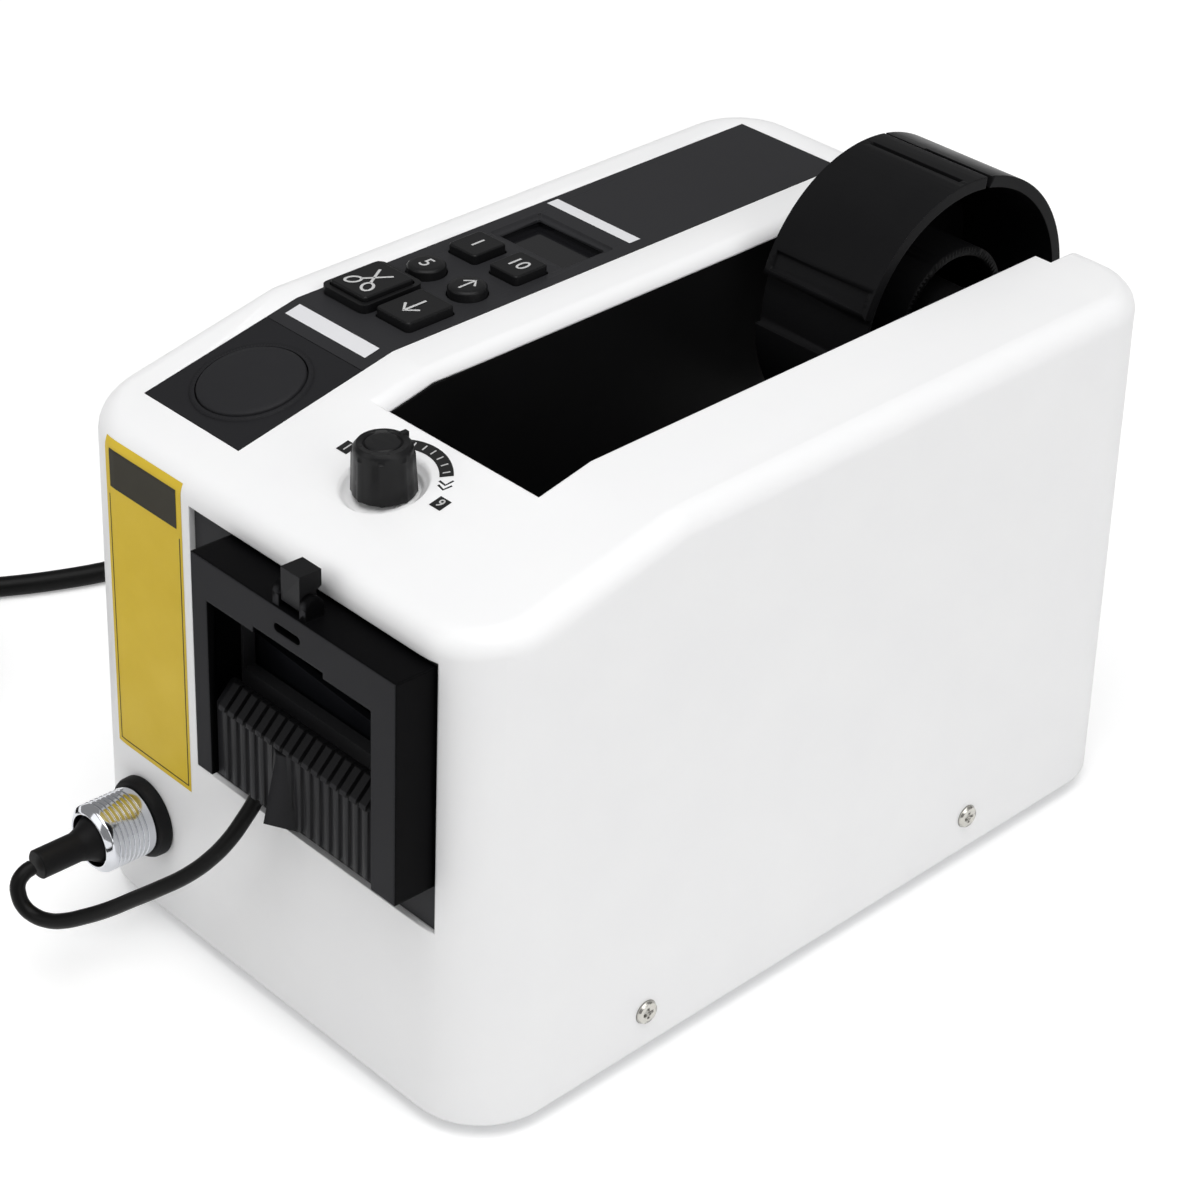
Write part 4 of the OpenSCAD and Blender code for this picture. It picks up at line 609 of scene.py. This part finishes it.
def band_sector(name, material, place):
    """Flat printed band round the knob, spun from one short edge."""
    bm = bmesh.new()
    a0, a1 = math.radians(BAND_START), math.radians(BAND_END)
    start = [bm.verts.new((r * math.cos(a0), r * math.sin(a0), BAND_LIFT)) for r in BAND_RADII]
    edge = bm.edges.new(start)
    bmesh.ops.spin(bm, geom=start + [edge], cent=(0, 0, 0), axis=(0, 0, 1), angle=a1 - a0, steps=BAND_STEPS)
    for f in bm.faces:
        f.normal_update()
        # the print faces upwards
        if f.normal.z < 0:
            f.normal_flip()
    bm.transform(place)
    mesh = bpy.data.meshes.new(name)
    bm.to_mesh(mesh)
    bm.free()
    return finish_piece(name, mesh, material, "machine")


def knob_marks():
    """Band with ticks, two arrow heads and two numbers round the knob."""
    centre = deck(*KNOB)
    band_sector("pressure_band", print_black, centre)
    ticks = []
    for i in range(TICKS):
        a = math.radians(TICK_START + i * TICK_STEP)
        ticks.append(([(r * math.cos(a), r * math.sin(a)) for r in TICK_RADII], False))
    strokes("pressure_band_ticks", ticks, 0.4, print_white, centre @ Matrix.Translation((0, 0, TICK_LIFT)),
            "machine", height=0.03)
    chevrons = []
    for i in range(2):
        a = math.radians(CHEVRON_START - i * CHEVRON_STEP)
        along = Vector((math.sin(a), -math.cos(a)))
        out = Vector((math.cos(a), math.sin(a)))
        base = CHEVRON_R * out
        chevrons.append(([tuple(base + CHEVRON_SPAN * out - CHEVRON_H * along),
                          tuple(base + CHEVRON_H * along),
                          tuple(base - CHEVRON_SPAN * out - CHEVRON_H * along)], False))
    strokes("pressure_chevrons", chevrons, 0.55, print_black, centre, "machine")
    for name, at, text in (("high", (24.7, 31.9), "9"), ("low", (-5.6, 32.1), "1")):
        spot = deck(*at)
        sheet_on("pressure_mark_" + name, (-MARK, -MARK, MARK, MARK), "housing", DOWN, print_black, spot,
                 "machine", cells=2)
        numeral("pressure_number_" + name, text, NUMBER_H, print_white,
                spot @ Matrix.Translation((0, 0, NUMBER_LIFT)), "machine")


# ---- front label ----
# Areas in the front's plane as (left, foot, right, top), and the width of the ruled lines
LABEL_AREA = (-54.8, 40, -27, 119)
HEADER_AREA = (-52.9, 107.4, -28.8, 116.9)
RULED_AREA = (-53.5, 41.2, -27.8, 105.4)
RULE_W = 0.3


def front_label():
    """Yellow label with a dark header field and a ruled frame, otherwise bare."""
    stand = FRONT @ Matrix.Rotation(math.radians(90), 4, "X")
    sheet_on("front_label", LABEL_AREA, "housing", BACK, label_yellow, stand, "machine", cells=90)
    sheet_on("front_label_header", HEADER_AREA, "housing", BACK, label_dark, stand, "machine", lift=0.14,
             cells=60)
    left, low, right, high = RULED_AREA
    for name, area in (("left", (left, low, left + RULE_W, high)),
                       ("right", (right - RULE_W, low, right, high)),
                       ("foot", (left, low, right, low + RULE_W))):
        sheet_on("front_label_rule_" + name, area, "housing", BACK, label_dark, stand, "machine", lift=0.1,
                 cells=12)


# ---- stage ----
# Level of the world's light, reflectance of the floor's paper, and white that is added to it near and far
WORLD_LEVEL, PAPER, LIFT_NEAR, LIFT_FAR = 0.3, 0.85, 0.3, 1.0
# Distances from the object between which the added white grows, in metres
NEAR_M, FAR_M = 0.5, 2.0
# Half the floor's width, in metres
FLOOR_SIZE = 4


def floor_material():
    """White paper. Eye, metal and glass see it lifted to white, and it keeps the object's shadow."""
    material, tree = new_material("pale_studio_floor")
    path = add(tree, "ShaderNodeLightPath")
    seen = add(tree, "ShaderNodeMath", {0: path.outputs["Is Camera Ray"], 1: path.outputs["Is Glossy Ray"]},
               operation="MAXIMUM")
    seen = add(tree, "ShaderNodeMath", {0: seen.outputs[0], 1: path.outputs["Is Transmission Ray"]},
               operation="MAXIMUM")
    paper = add(tree, "ShaderNodeBsdfDiffuse", {"Color": (PAPER, PAPER, PAPER, 1)})
    centre = add(tree, "ShaderNodeTexCoord").outputs["Object"]
    away = add(tree, "ShaderNodeVectorMath", {0: centre}, operation="LENGTH")
    level = add(tree, "ShaderNodeMapRange", {
        "Value": away.outputs["Value"], "From Min": NEAR_M, "From Max": FAR_M,
        "To Min": LIFT_NEAR, "To Max": LIFT_FAR})
    lift = add(tree, "ShaderNodeEmission", {"Color": (1, 1, 1, 1), "Strength": level.outputs["Result"]})
    white = add(tree, "ShaderNodeAddShader", {0: paper.outputs[0], 1: lift.outputs[0]})
    mix = add(tree, "ShaderNodeMixShader", {0: seen.outputs[0], 1: paper.outputs[0], 2: white.outputs[0]})
    add(tree, "ShaderNodeOutputMaterial", {"Surface": mix.outputs[0]})
    return material


def softbox(name, at, toward, size, power):
    """Square lamp that faces a point."""
    light = bpy.data.lights.new(name, "AREA")
    light.shape, light.size, light.energy = "SQUARE", size, power
    lamp = bpy.data.objects.new(name, light)
    lamp.location = at
    lamp.rotation_mode = "QUATERNION"
    lamp.rotation_quaternion = (Vector(toward) - Vector(at)).to_track_quat("-Z", "Y")
    bpy.context.scene.collection.objects.link(lamp)


def build_stage():
    """White paper floor, an even white world and three softboxes."""
    floor = bpy.data.meshes.new("floor")
    bm = bmesh.new()
    bmesh.ops.create_grid(bm, x_segments=1, y_segments=1, size=FLOOR_SIZE)
    bm.to_mesh(floor)
    bm.free()
    ground = bpy.data.objects.new("floor", floor)
    bpy.context.scene.collection.objects.link(ground)
    floor.materials.append(floor_material())

    world = bpy.data.worlds.new("studio")
    bpy.context.scene.world = world
    world.use_nodes = True
    tree = world.node_tree
    tree.nodes.clear()
    path = add(tree, "ShaderNodeLightPath")
    level = add(tree, "ShaderNodeMapRange", {
        "Value": path.outputs["Is Camera Ray"], "To Min": WORLD_LEVEL, "To Max": 1.0})
    sky = add(tree, "ShaderNodeBackground", {"Color": (1, 1, 1, 1), "Strength": level.outputs["Result"]})
    add(tree, "ShaderNodeOutputWorld", {"Surface": sky.outputs[0]})

    # places and sizes in metres, power in watts
    softbox("top_softbox", (0.3, -0.25, 1.7), (0, 0, 0.1), 1.6, 23)
    softbox("right_softbox", (1.5, 0.1, 0.8), (0, 0, 0.08), 1.1, 6)
    softbox("front_softbox", (-0.5, -1.6, 0.9), (0, 0, 0.08), 1.1, 4.5)


# ---- the whole part ----
# Nodes that keep their own shape, with smooth curves
SMOOTHED = (
    "housing", "bay_liner", "axle_seats", "reel_axle", "reel_hub", "reel_front_pad", "reel_rear_pad",
    "control_panel", "button_plate", "feed_button", "cut_key_bezel", "pressure_knob", "preset_key", "up_key",
    "front_plate", "guard", "guard_apron", "guard_latch", "tape_sensor", "plug_boot", "strain_relief",
    "rubber_feet", "case_screws", "rocker_switch", "rocker", "feed_roller", "pinch_roller", "feed_shaft",
    "feed_gear", "shaft_bushes", "feed_motor", "motor_pinion", "cutter_motor", "knob_shaft",
    "pressure_spring", "pinch_pivot", "blade_pivot", "crank", "moving_blade", "base_plate")

aim_camera()
build_stage()
lay_cords()

for name, node in nodes.items():
    node.data.materials.clear()
    node.data.materials.append(finish_of(name))

for name in SMOOTHED:
    smooth_copy(name)
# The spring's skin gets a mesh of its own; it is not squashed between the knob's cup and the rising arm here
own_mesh(bpy.data.objects["pressure_spring_skin"])

square_keys()
legends()
panel_labels()
display_tray()
connector()
knob_marks()
front_label()

view = bpy.context.scene.view_settings
view.view_transform = "Standard"
